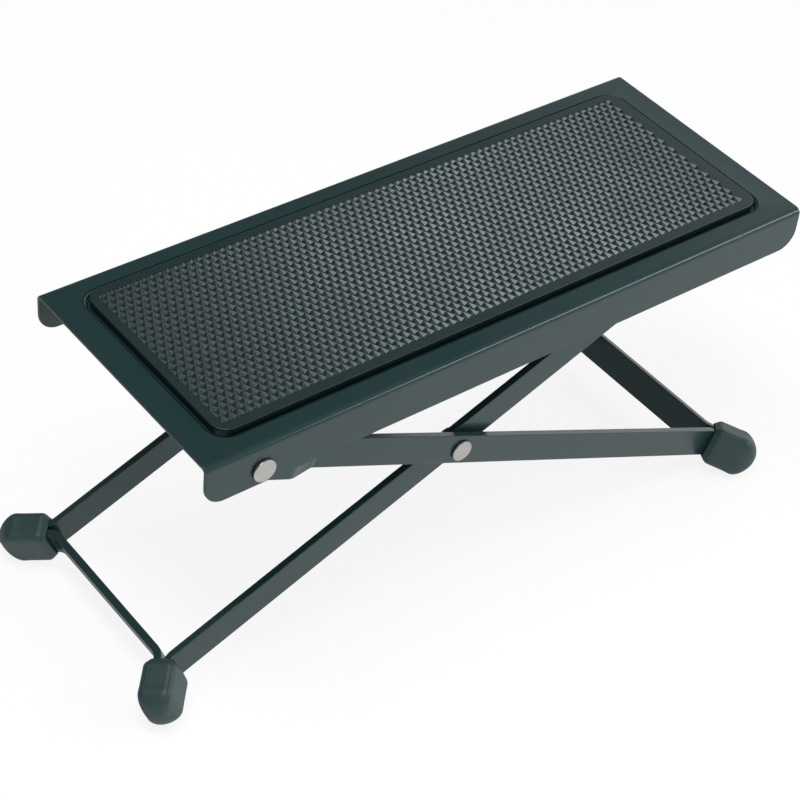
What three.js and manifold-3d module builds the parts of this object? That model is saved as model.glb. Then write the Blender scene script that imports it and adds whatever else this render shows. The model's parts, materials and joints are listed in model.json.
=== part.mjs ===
// Folding footrest for a seated guitarist.
// A pressed steel platform with a pitted rubber mat stands on two crossed leg frames.
// Each frame is one flat steel strip bent into a U. The outer frame hangs on two pivot
// rivets, and the inner frame's latch rod hooks into a toothed rack under the platform.
// Millimetres, +Z up. The platform is drawn level, with X along its length, Y across it
// and the origin at the centre of its top face, and the whole is then turned about Y
// until all four foot caps stand on the floor.

import * as THREE from 'three';
import { mergeVertices } from 'three/addons/utils/BufferGeometryUtils.js';
import Module from 'manifold-3d';

const wasm = await Module();
wasm.setup();

// Fits and clearances
const restGap = 0.3;            // between faces that rest on each other
const holeClearance = 0.3;      // round a shank in its hole, on the radius
const latchClearance = 0.35;    // between the latch rod and the tooth tips
const cutOverrun = 2;           // how far a cutting body reaches past what it cuts
const samePoint = 0.001;        // points of a path that lie closer than this are one

// Platform
const plateLength = 280;
const plateWidth = 110;
const plateSheet = 1.5;
const flangeBelowPivot = 6.5;   // from the pivot rivets' axis to the flanges' lower edge
const flangeCornerRadius = 8;
const longBendInner = 1.1;      // inner radius of the two long bends

// Recess pressed into the platform, and the mat in it
const recessEndMargin = 10.3;   // from the platform's short edges
const recessSideMargin = 9.4;   // from the platform's long edges
const recessDepth = 1.5;
const recessCornerRadius = 7.5;
const recessRimRadius = 1.2;
const matGroove = 1.6;          // open groove round the mat
const matProud = 1.9;           // mat above the platform's top face
const matEdgeRadius = 0.5;
const matBorder = 3.6;          // plain edge round the pits
const pitColumns = 36;
const pitRows = 6;
const pitDepth = 1;
const pitLand = 0.8;            // flat ridge between neighbouring pits

// Linkage, measured from the outer frame's pivot
const pivotInset = 23.7;        // from the platform's left end
const pivotDrop = 11.3;         // below the platform's top face
const armLength = 108.5;        // pivot to crossing, and crossing to latch rod
const restArmAngle = 23.594;    // degrees from the rod's line of travel to an arm, lowest notch
const restDrop = 16.4;          // of the rod in that notch, below the top face
const outerReach = 162.3;       // crossing to the outer face of the outer frame's web
const innerReach = 137.1;       // crossing to the outer face of the inner frame's web

// Flat strip of both leg frames
const stripWidth = 12.5;
const stripThickness = 3;
const barBendRadius = 6;        // centreline radius of the bends into the ears
const joggleBendRadius = 7;     // centreline radius of the outer frame's side bends
const earLength = 17;           // bar corner to the end of the hairpin, on the centreline
const hairpinGap = 1;           // between the two layers of an ear
const earShift = 1.2;           // of the ear's middle off the bar corner, towards the web
const joggleStart = 18;         // from the pivot along the outer frame's bar
const joggleLength = 14.5;
const joggleDepth = 6.4;        // from the eye inwards to the bar

// Fasteners
const shankRadius = 2.8;
const pivotHeadRadius = 4.65;
const pivotHeadHeight = 1.05;
const crossingHeadRadius = 4.4;
const crossingHeadHeight = 0.95;
const headEdge = 0.25;          // small bevel round a head
const tailRadius = 4.1;
const tailHeight = 1.1;
const washerRadius = 4.9;
const pivotWasherThickness = 0.8;
const crossingWasherThickness = 0.6;
const crossingSpacerThickness = 0.6;

// Latch rod and racks
const rodRadius = 3;
const rodShoulder = 0.7;        // step down to the necks at its ends
const rodButtonLap = 1;         // of a peened end over its neck
const rodButtonHeight = 0.5;
const rackSheet = 2;
const rackOffset = 3.1;         // between a rack and the inner frame's bar beside it
const rackFlange = 10;
const rackBendInner = 0.5;      // inner radius between a rack's web and its welded flange
const notchCount = 5;
const notchSeatClearance = 0.35;
const notchWall = 1.05;         // straight wall from the round seat to the tooth tip
const toothLand = 1.6;          // flat at a tooth's tip
const toothRamp = 2.3;          // slope that lifts the rod over a tooth
const rackEndMargin = 7;

// Foot caps
const capSideWall = 2.85;       // over the strip's edges
const capFlatWall = 3.15;       // over the two layers of the ear
const capEndWall = 3.4;         // beyond the hairpin
const capPocketFit = 0.35;      // between the ear and the pocket, each side
const capCornerRadius = 5.2;
const capRimLength = 2.5;       // bevelled rim at the mouth
const capLip = 0.85;            // wall that the bevel leaves at the mouth
const capStart = 0.8;           // mouth of the cap, from the bar corner along the ear
const capDome = 6.5;            // length of the rounded end

// Facets
const bendFacets = 5;
const hairpinFacets = 8;
const cornerFacets = 5;
const headFacets = 28;
const holeFacets = 20;
const domeRings = 6;
const tiltHalvings = 45;        // steps of the search for the tilt at which the part stands

// Positions that follow from the sizes above
const pivotX = pivotInset - plateLength / 2;
const pivotZ = -pivotDrop;
const armAngle = THREE.MathUtils.degToRad(restArmAngle);
const restDistance = 2 * armLength * Math.cos(armAngle);
const rodLineTilt = Math.asin((restDrop - pivotDrop) / restDistance);
const outerSlope = armAngle + rodLineTilt;
const innerSlope = armAngle - rodLineTilt;
const crossingX = pivotX + armLength * Math.cos(outerSlope);
const crossingZ = pivotZ - armLength * Math.sin(outerSlope);

const flangeDepth = pivotDrop + flangeBelowPivot;
const longBendRadius = longBendInner + plateSheet;
const recessLength = plateLength - 2 * recessEndMargin;
const recessWidth = plateWidth - 2 * recessSideMargin;
const panBottom = recessDepth + plateSheet;

// Faces across the part, each measured from the middle plane, from the flange inwards
const eyeOuter = plateWidth / 2 - plateSheet - restGap;
const pivotWasherFace = eyeOuter - stripThickness - restGap;
const outerBarOuter = eyeOuter - joggleDepth;
const spacerFace = outerBarOuter - stripThickness - restGap;
const innerBarOuter = spacerFace - crossingSpacerThickness - restGap;
const innerBarInner = innerBarOuter - stripThickness;
const crossingWasherFace = innerBarInner - restGap;
const rackOuter = innerBarInner - rackOffset;

// Latch rod, notches and foot caps
const rodNeckRadius = rodRadius - rodShoulder;
const rodButtonRadius = rodNeckRadius + rodButtonLap;
const seatRadius = rodRadius + notchSeatClearance;
const notchDepth = seatRadius + notchWall;
const notchPitch = 2 * seatRadius + toothLand + toothRamp;
const pocketWidth = stripWidth + 2 * capPocketFit;
const pocketThickness = 2 * stripThickness + hairpinGap + 2 * capPocketFit;
const pocketDepth = earLength - capStart + stripThickness / 2 + restGap;
const capWidth = pocketWidth + 2 * capSideWall;
const capThickness = pocketThickness + 2 * capFlatWall;
const capLength = pocketDepth + capEndWall;
const capRimInset = capSideWall - capLip;

// Materials
function finish(color, roughness, metalness) {
  return new THREE.MeshStandardMaterial({ color, roughness, metalness });
}
const blackPaint = finish(0x2c3a3b, 0.45, 0.3);
const matRubber = finish(0x324042, 0.8, 0);
const capRubber = finish(0x32403f, 0.7, 0);
const bareSteel = finish(0xb6b4af, 0.35, 0.9);
const zincSteel = finish(0x9a9c9c, 0.4, 0.85);
const nylon = finish(0xd8d6cc, 0.6, 0);

// Solids from three.js geometry, for cutting and joining
function solid(geometry) {
  const bare = geometry.clone();
  bare.deleteAttribute('normal');
  bare.deleteAttribute('uv');
  const merged = mergeVertices(bare);
  return new wasm.Manifold(new wasm.Mesh({
    numProp: 3,
    vertProperties: new Float32Array(merged.attributes.position.array),
    triVerts: new Uint32Array(merged.index.array),
  }));
}

function geometryOf(body) {
  const cut = body.getMesh();
  const geometry = new THREE.BufferGeometry();
  geometry.setAttribute('position', new THREE.Float32BufferAttribute(cut.vertProperties, 3));
  geometry.setIndex(Array.from(cut.triVerts));
  geometry.computeVertexNormals();
  return geometry;
}

function piece(name, geometry, material) {
  const mesh = new THREE.Mesh(geometry, material);
  mesh.name = name;
  return mesh;
}

// Shape drawn in two of the three directions, drawn out along the third, centred on zero
function prism(shape, depth, xAxis, yAxis) {
  const geometry = new THREE.ExtrudeGeometry(shape, {
    depth, bevelEnabled: false, curveSegments: cornerFacets,
  });
  geometry.translate(0, 0, -depth / 2);
  const zAxis = new THREE.Vector3().crossVectors(xAxis, yAxis);
  return geometry.applyMatrix4(new THREE.Matrix4().makeBasis(xAxis, yAxis, zAxis));
}

const alongX = new THREE.Vector3(1, 0, 0);
const alongY = new THREE.Vector3(0, 1, 0);
const alongZ = new THREE.Vector3(0, 0, 1);

// Cylinder across the part, for a hole round a shank
function crossBore(radius, length, x, y, z) {
  return solid(new THREE.CylinderGeometry(radius, radius, length, holeFacets).translate(x, y, z));
}

// Outline points of a rectangle with rounded corners, counter-clockwise
function roundedRectangle(length, width, radius) {
  const points = [];
  for (let corner = 0; corner < 4; corner += 1) {
    const sideX = corner === 0 || corner === 3 ? 1 : -1;
    const sideY = corner < 2 ? 1 : -1;
    for (let step = 0; step <= cornerFacets; step += 1) {
      const angle = (corner + step / cornerFacets) * Math.PI / 2;
      points.push(new THREE.Vector2(
        sideX * (length / 2 - radius) + radius * Math.cos(angle),
        sideY * (width / 2 - radius) + radius * Math.sin(angle),
      ));
    }
  }
  return points;
}

// Closed body through a row of convex outlines, each at its own height
function loft(sections) {
  const count = sections[0].outline.length;
  const positions = [];
  const index = [];
  sections.forEach(({ outline, height }) => {
    outline.forEach((point) => positions.push(point.x, point.y, height));
  });
  for (let ring = 0; ring < sections.length - 1; ring += 1) {
    for (let side = 0; side < count; side += 1) {
      const next = (side + 1) % count;
      const low = ring * count;
      const high = low + count;
      index.push(low + side, low + next, high + next);
      index.push(low + side, high + next, high + side);
    }
  }
  const last = (sections.length - 1) * count;
  for (let side = 1; side < count - 1; side += 1) {
    index.push(0, side + 1, side);
    index.push(last, last + side, last + side + 1);
  }
  const geometry = new THREE.BufferGeometry();
  geometry.setAttribute('position', new THREE.Float32BufferAttribute(positions, 3));
  geometry.setIndex(index);
  geometry.computeVertexNormals();
  return geometry;
}

// Path of straight runs whose corners are rounded to the radius given with each point.
// Where one arc ends as the next starts, the point that they share is kept once.
function roundedPath(corners) {
  const path = [];
  const add = (point) => {
    if (path.length === 0 || path.at(-1).distanceTo(point) > samePoint) {
      path.push(point);
    }
  };
  corners.forEach(({ at, radius, facets }, place) => {
    if (!radius) {
      add(at.clone());
      return;
    }
    const before = corners[place - 1].at.clone().sub(at).normalize();
    const after = corners[place + 1].at.clone().sub(at).normalize();
    const opening = Math.acos(THREE.MathUtils.clamp(before.dot(after), -1, 1));
    const reach = radius / Math.tan(opening / 2);
    const middle = before.clone().add(after).normalize();
    const centre = at.clone().addScaledVector(middle, radius / Math.sin(opening / 2));
    const start = at.clone().addScaledVector(before, reach).sub(centre);
    const turn = Math.sign(before.cross(after)) * -(Math.PI - opening);
    for (let step = 0; step <= facets; step += 1) {
      const spoke = start.clone().rotateAround(new THREE.Vector2(), turn * step / facets);
      add(spoke.add(centre));
    }
  });
  return path;
}

// Outline of a strip of even thickness that follows a centreline
function ribbon(centreline, thickness) {
  const left = [];
  const right = [];
  centreline.forEach((point, place) => {
    const back = centreline[Math.max(place - 1, 0)];
    const ahead = centreline[Math.min(place + 1, centreline.length - 1)];
    const arriving = point.clone().sub(back).normalize();
    const leaving = ahead.clone().sub(point).normalize();
    const along = arriving.clone().add(leaving).normalize();
    const run = place > 0 ? arriving : leaving;
    const stretch = thickness / 2 / along.dot(run);
    const side = new THREE.Vector2(-along.y, along.x).multiplyScalar(stretch);
    left.push(point.clone().add(side));
    right.push(point.clone().sub(side));
  });
  return new THREE.Shape(left.concat(right.reverse()));
}

// Platform: channel with rounded flange corners, pressed recess and pivot holes
function platformSection() {
  const half = plateWidth / 2;
  const bendY = half - longBendRadius;
  const shape = new THREE.Shape();
  shape.moveTo(half, -flangeDepth);
  shape.lineTo(half, -longBendRadius);
  shape.absarc(bendY, -longBendRadius, longBendRadius, 0, Math.PI / 2, false);
  shape.lineTo(-bendY, 0);
  shape.absarc(-bendY, -longBendRadius, longBendRadius, Math.PI / 2, Math.PI, false);
  shape.lineTo(-half, -flangeDepth);
  shape.lineTo(plateSheet - half, -flangeDepth);
  shape.lineTo(plateSheet - half, -longBendRadius);
  shape.absarc(-bendY, -longBendRadius, longBendInner, Math.PI, Math.PI / 2, true);
  shape.lineTo(bendY, -plateSheet);
  shape.absarc(bendY, -longBendRadius, longBendInner, Math.PI / 2, 0, true);
  shape.lineTo(half - plateSheet, -flangeDepth);
  return shape;
}

function platformSideOutline() {
  const half = plateLength / 2;
  const cornerX = half - flangeCornerRadius;
  const cornerZ = flangeCornerRadius - flangeDepth;
  const shape = new THREE.Shape();
  shape.moveTo(half, cutOverrun);
  shape.lineTo(-half, cutOverrun);
  shape.lineTo(-half, cornerZ);
  shape.absarc(-cornerX, cornerZ, flangeCornerRadius, Math.PI, Math.PI * 1.5, false);
  shape.lineTo(cornerX, -flangeDepth);
  shape.absarc(cornerX, cornerZ, flangeCornerRadius, -Math.PI / 2, 0, false);
  return shape;
}

function recessOutline(grow) {
  const radius = recessCornerRadius + grow;
  return roundedRectangle(recessLength + 2 * grow, recessWidth + 2 * grow, radius);
}

function platform() {
  const channel = solid(prism(platformSection(), plateLength, alongY, alongZ));
  const ends = solid(prism(platformSideOutline(), plateWidth + cutOverrun, alongX, alongZ));
  const pan = solid(loft([
    { outline: recessOutline(0), height: -panBottom },
    { outline: recessOutline(plateSheet), height: -recessDepth },
    { outline: recessOutline(plateSheet), height: -Math.min(recessDepth, plateSheet) / 2 },
  ]));
  const hollow = [{ outline: recessOutline(0), height: -recessDepth }];
  for (let step = 0; step <= cornerFacets; step += 1) {
    const angle = step / cornerFacets * Math.PI / 2;
    hollow.push({
      outline: recessOutline(recessRimRadius * (1 - Math.cos(angle))),
      height: recessRimRadius * (Math.sin(angle) - 1),
    });
  }
  hollow.push({ outline: recessOutline(recessRimRadius), height: cutOverrun });
  const bore = crossBore(
    shankRadius + holeClearance, plateWidth + cutOverrun, pivotX, 0, pivotZ);
  const body = channel.intersect(ends).add(pan).subtract(solid(loft(hollow))).subtract(bore);
  return piece('platform', geometryOf(body), blackPaint);
}

// Pits of the mat's grip: four-sided pyramids, point down, on a lattice whose every second
// node is a pit. They are drawn twice as long and wide as the real ones, and half as many
// each way. The lattice's middle node is a crossing of the ridges between them.
function pits(length, width) {
  const stepX = length / pitColumns / 2;
  const stepY = width / pitRows / 2;
  const reach = stepX * stepY / Math.hypot(stepX, stepY);
  const share = (reach - pitLand / 2) / reach;
  const point = wasm.Manifold.cylinder(pitDepth, 0, 1, 4);
  const opening = wasm.Manifold.cylinder(cutOverrun, 1, 1, 4).translate([0, 0, pitDepth]);
  const pit = point.add(opening).scale([stepX * share, stepY * share, 1]);
  const placed = [];
  for (let column = 1 - pitColumns; column < pitColumns; column += 1) {
    for (let row = 1 - pitRows; row < pitRows; row += 1) {
      if ((column + row) % 2 !== 0) {
        placed.push(pit.translate([column * stepX, row * stepY, matProud - pitDepth]));
      }
    }
  }
  return wasm.Manifold.compose(placed);
}

// Mat: slab in the recess that stands proud of the platform, with a rounded upper edge
function mat() {
  const length = recessLength - 2 * matGroove;
  const width = recessWidth - 2 * matGroove;
  const radius = recessCornerRadius - matGroove;
  const outline = (inset) => roundedRectangle(
    length - 2 * inset, width - 2 * inset, radius - inset);
  const slab = loft([
    { outline: outline(0), height: restGap - recessDepth },
    { outline: outline(0), height: matProud - matEdgeRadius },
    { outline: outline(matEdgeRadius * (1 - Math.SQRT1_2)),
      height: matProud - matEdgeRadius * (1 - Math.SQRT1_2) },
    { outline: outline(matEdgeRadius), height: matProud },
  ]);
  const body = solid(slab).subtract(pits(length - 2 * matBorder, width - 2 * matBorder));
  return piece('rubber_mat', geometryOf(body), matRubber);
}

// Rack: sheet angle under the platform, with ratchet notches for the latch rod.
// It is drawn along the rod's own line of travel, which starts at the outer pivot.
function rackOutline() {
  const tip = rodRadius + latchClearance;
  const seat = tip + notchDepth - seatRadius;
  const first = restDistance - (notchCount - 1) * notchPitch;
  const left = first - notchPitch / 2 - rackEndMargin;
  const right = restDistance + seatRadius + rackEndMargin;
  const top = 2 * pivotDrop;
  const shape = new THREE.Shape();
  shape.moveTo(right, top);
  shape.lineTo(left, top);
  shape.lineTo(left, tip + notchDepth / 2);
  shape.lineTo(left + notchDepth / 2, tip);
  for (let notch = 0; notch < notchCount; notch += 1) {
    const centre = first + notch * notchPitch;
    shape.lineTo(centre - seatRadius - toothRamp, tip);
    shape.lineTo(centre - seatRadius, seat);
    shape.absarc(centre, seat, seatRadius, Math.PI, 0, true);
    shape.lineTo(centre + seatRadius, tip);
  }
  shape.lineTo(right - notchDepth / 2, tip);
  shape.lineTo(right, tip + notchDepth / 2);
  return shape;
}

function rack(name, side) {
  const top = -panBottom - restGap;
  const bottom = -restDrop - rodRadius;
  const bendRadius = rackBendInner + rackSheet;
  const bendY = rackOuter - bendRadius;
  const bendZ = top - bendRadius;
  const angle = new THREE.Shape();
  angle.moveTo(rackOuter, bottom);
  angle.lineTo(rackOuter, bendZ);
  angle.absarc(bendY, bendZ, bendRadius, 0, Math.PI / 2, false);
  angle.lineTo(rackOuter - rackFlange, top);
  angle.lineTo(rackOuter - rackFlange, top - rackSheet);
  angle.lineTo(bendY, top - rackSheet);
  angle.absarc(bendY, bendZ, rackBendInner, Math.PI / 2, 0, true);
  angle.lineTo(rackOuter - rackSheet, bottom);
  const body = solid(prism(angle, plateLength, alongY, alongZ));
  const teeth = prism(rackOutline(), plateWidth, alongX, alongZ);
  teeth.rotateY(rodLineTilt).translate(pivotX, 0, pivotZ);
  const cut = body.intersect(solid(teeth));
  const geometry = geometryOf(side > 0 ? cut : cut.mirror([0, 1, 0]));
  return piece(name, geometry, blackPaint);
}

// Centreline of half a leg frame in its own plane: x down the bar, y outwards.
// The strip runs down the bar, out along the ear, round the hairpin and back to the web.
// The web's middle only aims the last bend and is left out, because the web runs straight
// across it.
function halfFrame(eyeY, barY, start, webX, joggled) {
  const spacing = stripThickness + hairpinGap;
  const corner = new THREE.Vector2(webX, barY);
  const outward = new THREE.Vector2(Math.SQRT1_2, Math.SQRT1_2);
  const across = new THREE.Vector2(-Math.SQRT1_2, Math.SQRT1_2);
  const earEnd = corner.clone().addScaledVector(outward, earLength)
    .addScaledVector(across, -earShift);
  const barSetBack = (spacing / 2 - earShift) * Math.SQRT2;
  const webSetBack = (spacing / 2 + earShift) * Math.SQRT2;
  const bend = { radius: barBendRadius, facets: bendFacets };
  const side = { radius: joggleBendRadius, facets: bendFacets };
  const hairpin = { radius: spacing / 2, facets: hairpinFacets / 2 };
  const corners = [{ at: new THREE.Vector2(start, eyeY) }];
  if (joggled) {
    corners.push({ at: new THREE.Vector2(joggleStart, eyeY), ...side });
    corners.push({ at: new THREE.Vector2(joggleStart + joggleLength, barY), ...side });
  }
  corners.push({ at: new THREE.Vector2(webX - barSetBack, barY), ...bend });
  corners.push({ at: earEnd.clone().addScaledVector(across, spacing / 2), ...hairpin });
  corners.push({ at: earEnd.clone().addScaledVector(across, -spacing / 2), ...hairpin });
  corners.push({ at: new THREE.Vector2(webX, barY - webSetBack), ...bend });
  corners.push({ at: new THREE.Vector2(webX, 0) });
  return roundedPath(corners).slice(0, -1);
}

// Side view of a frame's strip: a bar whose upper end is rounded about its hole
function barOutline(eyeX, farX) {
  const half = stripWidth / 2;
  const shape = new THREE.Shape();
  shape.moveTo(farX, -half);
  shape.lineTo(farX, half);
  shape.lineTo(eyeX, half);
  shape.absarc(eyeX, 0, half, Math.PI / 2, Math.PI * 1.5, false);
  return shape;
}

function legFrame(name, { eyeX, eyeY, eyeBore, barY, boreX, webX, joggled }) {
  const half = halfFrame(eyeY, barY, eyeX - stripWidth, webX, joggled);
  const mirrored = half.map(({ x, y }) => new THREE.Vector2(x, -y)).reverse();
  const strip = solid(prism(
    ribbon(half.concat(mirrored), stripThickness), stripWidth, alongX, alongY));
  const reach = webX + 2 * earLength;
  const across = 2 * (eyeY + barY + earLength);
  const rounding = solid(prism(barOutline(eyeX, reach), across, alongX, alongZ));
  const body = strip.intersect(rounding)
    .subtract(crossBore(eyeBore, across, eyeX, 0, 0))
    .subtract(crossBore(shankRadius + holeClearance, across, boreX, 0, 0));
  return piece(name, geometryOf(body), blackPaint);
}

// Rivet lying across the part: flat head outwards, formed tail inwards.
// The profile is drawn up the axis from the tail to the head.
function rivet(name, side, headRadius, headHeight, headFace, tailFace) {
  const tailEdge = tailHeight / 2;
  const headTop = headFace + restGap + headHeight;
  const tailTop = tailFace - restGap;
  const profile = [
    [0, tailTop - tailHeight],
    [tailRadius - tailEdge, tailTop - tailHeight],
    [tailRadius, tailTop - tailEdge],
    [tailRadius, tailTop],
    [shankRadius, tailTop],
    [shankRadius, headFace + restGap],
    [headRadius, headFace + restGap],
    [headRadius, headTop - headEdge],
    [headRadius - headEdge, headTop],
    [0, headTop],
  ].map(([radius, height]) => new THREE.Vector2(radius, height));
  const geometry = new THREE.LatheGeometry(profile, headFacets);
  if (side < 0) {
    geometry.rotateX(Math.PI);
  }
  return piece(name, geometry, bareSteel);
}

function washer(name, side, thickness, outerFace) {
  const bore = shankRadius + holeClearance;
  const near = outerFace - thickness;
  const profile = [
    [bore, near],
    [washerRadius, near],
    [washerRadius, outerFace],
    [bore, outerFace],
    [bore, near],
  ].map(([radius, height]) => new THREE.Vector2(radius, height));
  const geometry = new THREE.LatheGeometry(profile, holeFacets);
  if (side < 0) {
    geometry.rotateX(Math.PI);
  }
  return piece(name, geometry, nylon);
}

// Latch rod with necked ends that pass through the inner frame and are peened over
function latchRod() {
  const shoulder = innerBarInner - restGap;
  const buttonFace = innerBarOuter + restGap;
  const buttonEdge = rodButtonHeight / 2;
  const half = [
    [rodRadius, shoulder],
    [rodNeckRadius, shoulder],
    [rodNeckRadius, buttonFace],
    [rodButtonRadius, buttonFace],
    [rodButtonRadius, buttonFace + buttonEdge],
    [rodButtonRadius - buttonEdge, buttonFace + rodButtonHeight],
    [0, buttonFace + rodButtonHeight],
  ];
  const profile = half.map(([radius, height]) => [radius, -height]).reverse().concat(half)
    .map(([radius, height]) => new THREE.Vector2(radius, height));
  return piece('latch_rod', new THREE.LatheGeometry(profile, headFacets), zincSteel);
}

// Foot cap: rubber boot pushed over an ear, drawn along the ear with its mouth at zero
function capGeometry() {
  const outline = (inset) => roundedRectangle(
    capWidth - 2 * inset, capThickness - 2 * inset, capCornerRadius - inset * Math.SQRT1_2);
  const sections = [
    { outline: outline(capRimInset), height: 0 },
    { outline: outline(0), height: capRimLength },
  ];
  const domeStart = capLength - capDome;
  for (let ring = 0; ring < domeRings; ring += 1) {
    const angle = ring / domeRings * Math.PI / 2;
    const share = Math.cos(angle);
    const radius = THREE.MathUtils.lerp(
      capThickness / 2 * share, capCornerRadius, share * share);
    sections.push({
      outline: roundedRectangle(capWidth * share, capThickness * share,
        Math.min(radius, capThickness / 2 * share)),
      height: domeStart + capDome * Math.sin(angle),
    });
  }
  const tipShare = Math.cos((domeRings - 0.5) / domeRings * Math.PI / 2);
  sections.push({
    outline: roundedRectangle(capWidth * tipShare, capThickness * tipShare,
      capThickness / 2 * tipShare),
    height: capLength,
  });
  const pocketOutline = roundedRectangle(pocketWidth, pocketThickness, capPocketFit);
  const pocket = loft([
    { outline: pocketOutline, height: -cutOverrun },
    { outline: pocketOutline, height: pocketDepth },
  ]);
  return geometryOf(solid(loft(sections)).subtract(solid(pocket)));
}

// A cap set on the ear of a frame, in the frame's own plane
function footCap(name, barY, webX, side) {
  const across = new THREE.Vector3(-Math.SQRT1_2, side * Math.SQRT1_2, 0);
  const along = new THREE.Vector3(Math.SQRT1_2, side * Math.SQRT1_2, 0);
  const width = new THREE.Vector3().crossVectors(across, along);
  const mesh = piece(name, capGeometry(), capRubber);
  mesh.geometry.applyMatrix4(new THREE.Matrix4().makeBasis(width, across, along));
  const mouth = new THREE.Vector3(webX, side * barY, 0)
    .addScaledVector(along, capStart).addScaledVector(across, -earShift);
  mesh.geometry.translate(mouth.x, mouth.y, mouth.z);
  return mesh;
}

// Outer frame, in a group at its pivot: x runs down its bars
const outerBarY = outerBarOuter - stripThickness / 2;
const outerWebX = armLength + outerReach - stripThickness / 2;
const outerFrame = new THREE.Group();
outerFrame.position.set(pivotX, 0, pivotZ);
outerFrame.rotation.y = outerSlope;
outerFrame.add(legFrame('outer_leg_frame', {
  eyeX: 0,
  eyeY: eyeOuter - stripThickness / 2,
  eyeBore: shankRadius + holeClearance,
  barY: outerBarY,
  boreX: armLength,
  webX: outerWebX,
  joggled: true,
}));

// Inner frame, in a group at the crossing: x runs down its bars, away from the latch rod
const innerBarY = innerBarOuter - stripThickness / 2;
const innerWebX = innerReach - stripThickness / 2;
const innerFrame = new THREE.Group();
innerFrame.position.set(crossingX, 0, crossingZ);
innerFrame.rotation.y = Math.PI - innerSlope;
innerFrame.add(legFrame('inner_leg_frame', {
  eyeX: -armLength,
  eyeY: innerBarY,
  eyeBore: rodNeckRadius + holeClearance,
  barY: innerBarY,
  boreX: 0,
  webX: innerWebX,
  joggled: false,
}));
const rod = latchRod();
rod.position.x = -armLength;
innerFrame.add(rod);

// Everything that comes in a near and a far copy
const topGroup = new THREE.Group();
topGroup.add(platform(), mat());
const caps = { outer: [], inner: [] };
[['near', -1], ['far', 1]].forEach(([word, side]) => {
  topGroup.add(rack(`rack_${word}`, side));
  const pivotRivet = rivet(`pivot_rivet_${word}`, side, pivotHeadRadius, pivotHeadHeight,
    plateWidth / 2, pivotWasherFace - pivotWasherThickness);
  const pivotWasher = washer(`pivot_washer_${word}`, side, pivotWasherThickness,
    pivotWasherFace);
  [pivotRivet, pivotWasher].forEach((mesh) => {
    mesh.position.set(pivotX, 0, pivotZ);
    topGroup.add(mesh);
  });
  const crossingRivet = rivet(`crossing_rivet_${word}`, side, crossingHeadRadius,
    crossingHeadHeight, outerBarOuter, crossingWasherFace - crossingWasherThickness);
  const crossingSpacer = washer(`crossing_spacer_${word}`, side, crossingSpacerThickness,
    spacerFace);
  const crossingWasher = washer(`crossing_washer_${word}`, side, crossingWasherThickness,
    crossingWasherFace);
  [crossingRivet, crossingSpacer, crossingWasher].forEach((mesh) => {
    mesh.position.x = armLength;
    outerFrame.add(mesh);
  });
  caps.outer.push(footCap(`outer_foot_cap_${word}`, outerBarY, outerWebX, side));
  caps.inner.push(footCap(`inner_foot_cap_${word}`, innerBarY, innerWebX, side));
});
outerFrame.add(...caps.outer);
innerFrame.add(...caps.inner);

const assembly = new THREE.Group();
assembly.add(topGroup, outerFrame, innerFrame);

// Lowest height of some meshes when the assembly is tilted
function lowest(meshes, tilt) {
  assembly.rotation.y = -tilt;
  assembly.updateMatrixWorld(true);
  const box = new THREE.Box3();
  meshes.forEach((mesh) => box.expandByObject(mesh, true));
  return box.min.z;
}

// Tilt at which both pairs of caps stand at one height, by halving the interval
function standingTilt() {
  let low = -outerSlope;
  let high = innerSlope;
  for (let step = 0; step < tiltHalvings; step += 1) {
    const middle = (low + high) / 2;
    if (lowest(caps.outer, middle) < lowest(caps.inner, middle)) {
      low = middle;
    } else {
      high = middle;
    }
  }
  return (low + high) / 2;
}

// Stand the part on the floor, with the origin under the middle of its box
assembly.rotation.y = -standingTilt();
assembly.updateMatrixWorld(true);
const standing = new THREE.Box3().setFromObject(assembly, true);
const middle = standing.getCenter(new THREE.Vector3());
assembly.position.set(-middle.x, -middle.y, -standing.min.z);

const group = new THREE.Group();
group.add(assembly);

export default group;
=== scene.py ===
"""Visual model of a folding guitar footrest.

A pressed steel platform with a pitted rubber mat stands on two crossed leg frames, each one
flat steel strip bent into a U with a hairpin ear at each corner. Lengths in the classes of the
sub-assemblies are millimetres in a drawing frame, and a Placement turns them into metres in
the shared frame. Finishes, lamps and the studio are in metres, all but the camera's place.
"""

import json
import logging
import math
from dataclasses import dataclass
from enum import Enum

import bmesh
import bpy
import numpy as np
from mathutils import Matrix, Vector

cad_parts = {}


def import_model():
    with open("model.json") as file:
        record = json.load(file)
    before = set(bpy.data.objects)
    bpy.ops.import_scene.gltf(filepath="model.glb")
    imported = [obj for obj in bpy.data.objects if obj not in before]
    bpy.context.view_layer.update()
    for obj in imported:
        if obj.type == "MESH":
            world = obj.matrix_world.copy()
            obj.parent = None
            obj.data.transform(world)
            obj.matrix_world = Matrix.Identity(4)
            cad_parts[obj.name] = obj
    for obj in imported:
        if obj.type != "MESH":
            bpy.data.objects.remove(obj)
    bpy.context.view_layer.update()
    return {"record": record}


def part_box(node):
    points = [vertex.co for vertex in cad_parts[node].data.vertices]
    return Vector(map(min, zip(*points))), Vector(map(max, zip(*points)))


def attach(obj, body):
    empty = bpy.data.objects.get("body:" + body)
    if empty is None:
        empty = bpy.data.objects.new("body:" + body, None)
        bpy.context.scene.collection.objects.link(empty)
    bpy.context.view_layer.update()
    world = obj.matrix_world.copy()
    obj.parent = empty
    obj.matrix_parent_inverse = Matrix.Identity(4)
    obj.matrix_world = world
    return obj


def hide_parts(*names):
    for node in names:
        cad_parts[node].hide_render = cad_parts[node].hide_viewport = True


logging.basicConfig(level=logging.INFO, format="%(message)s")
log = logging.getLogger("footrest")

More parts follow.
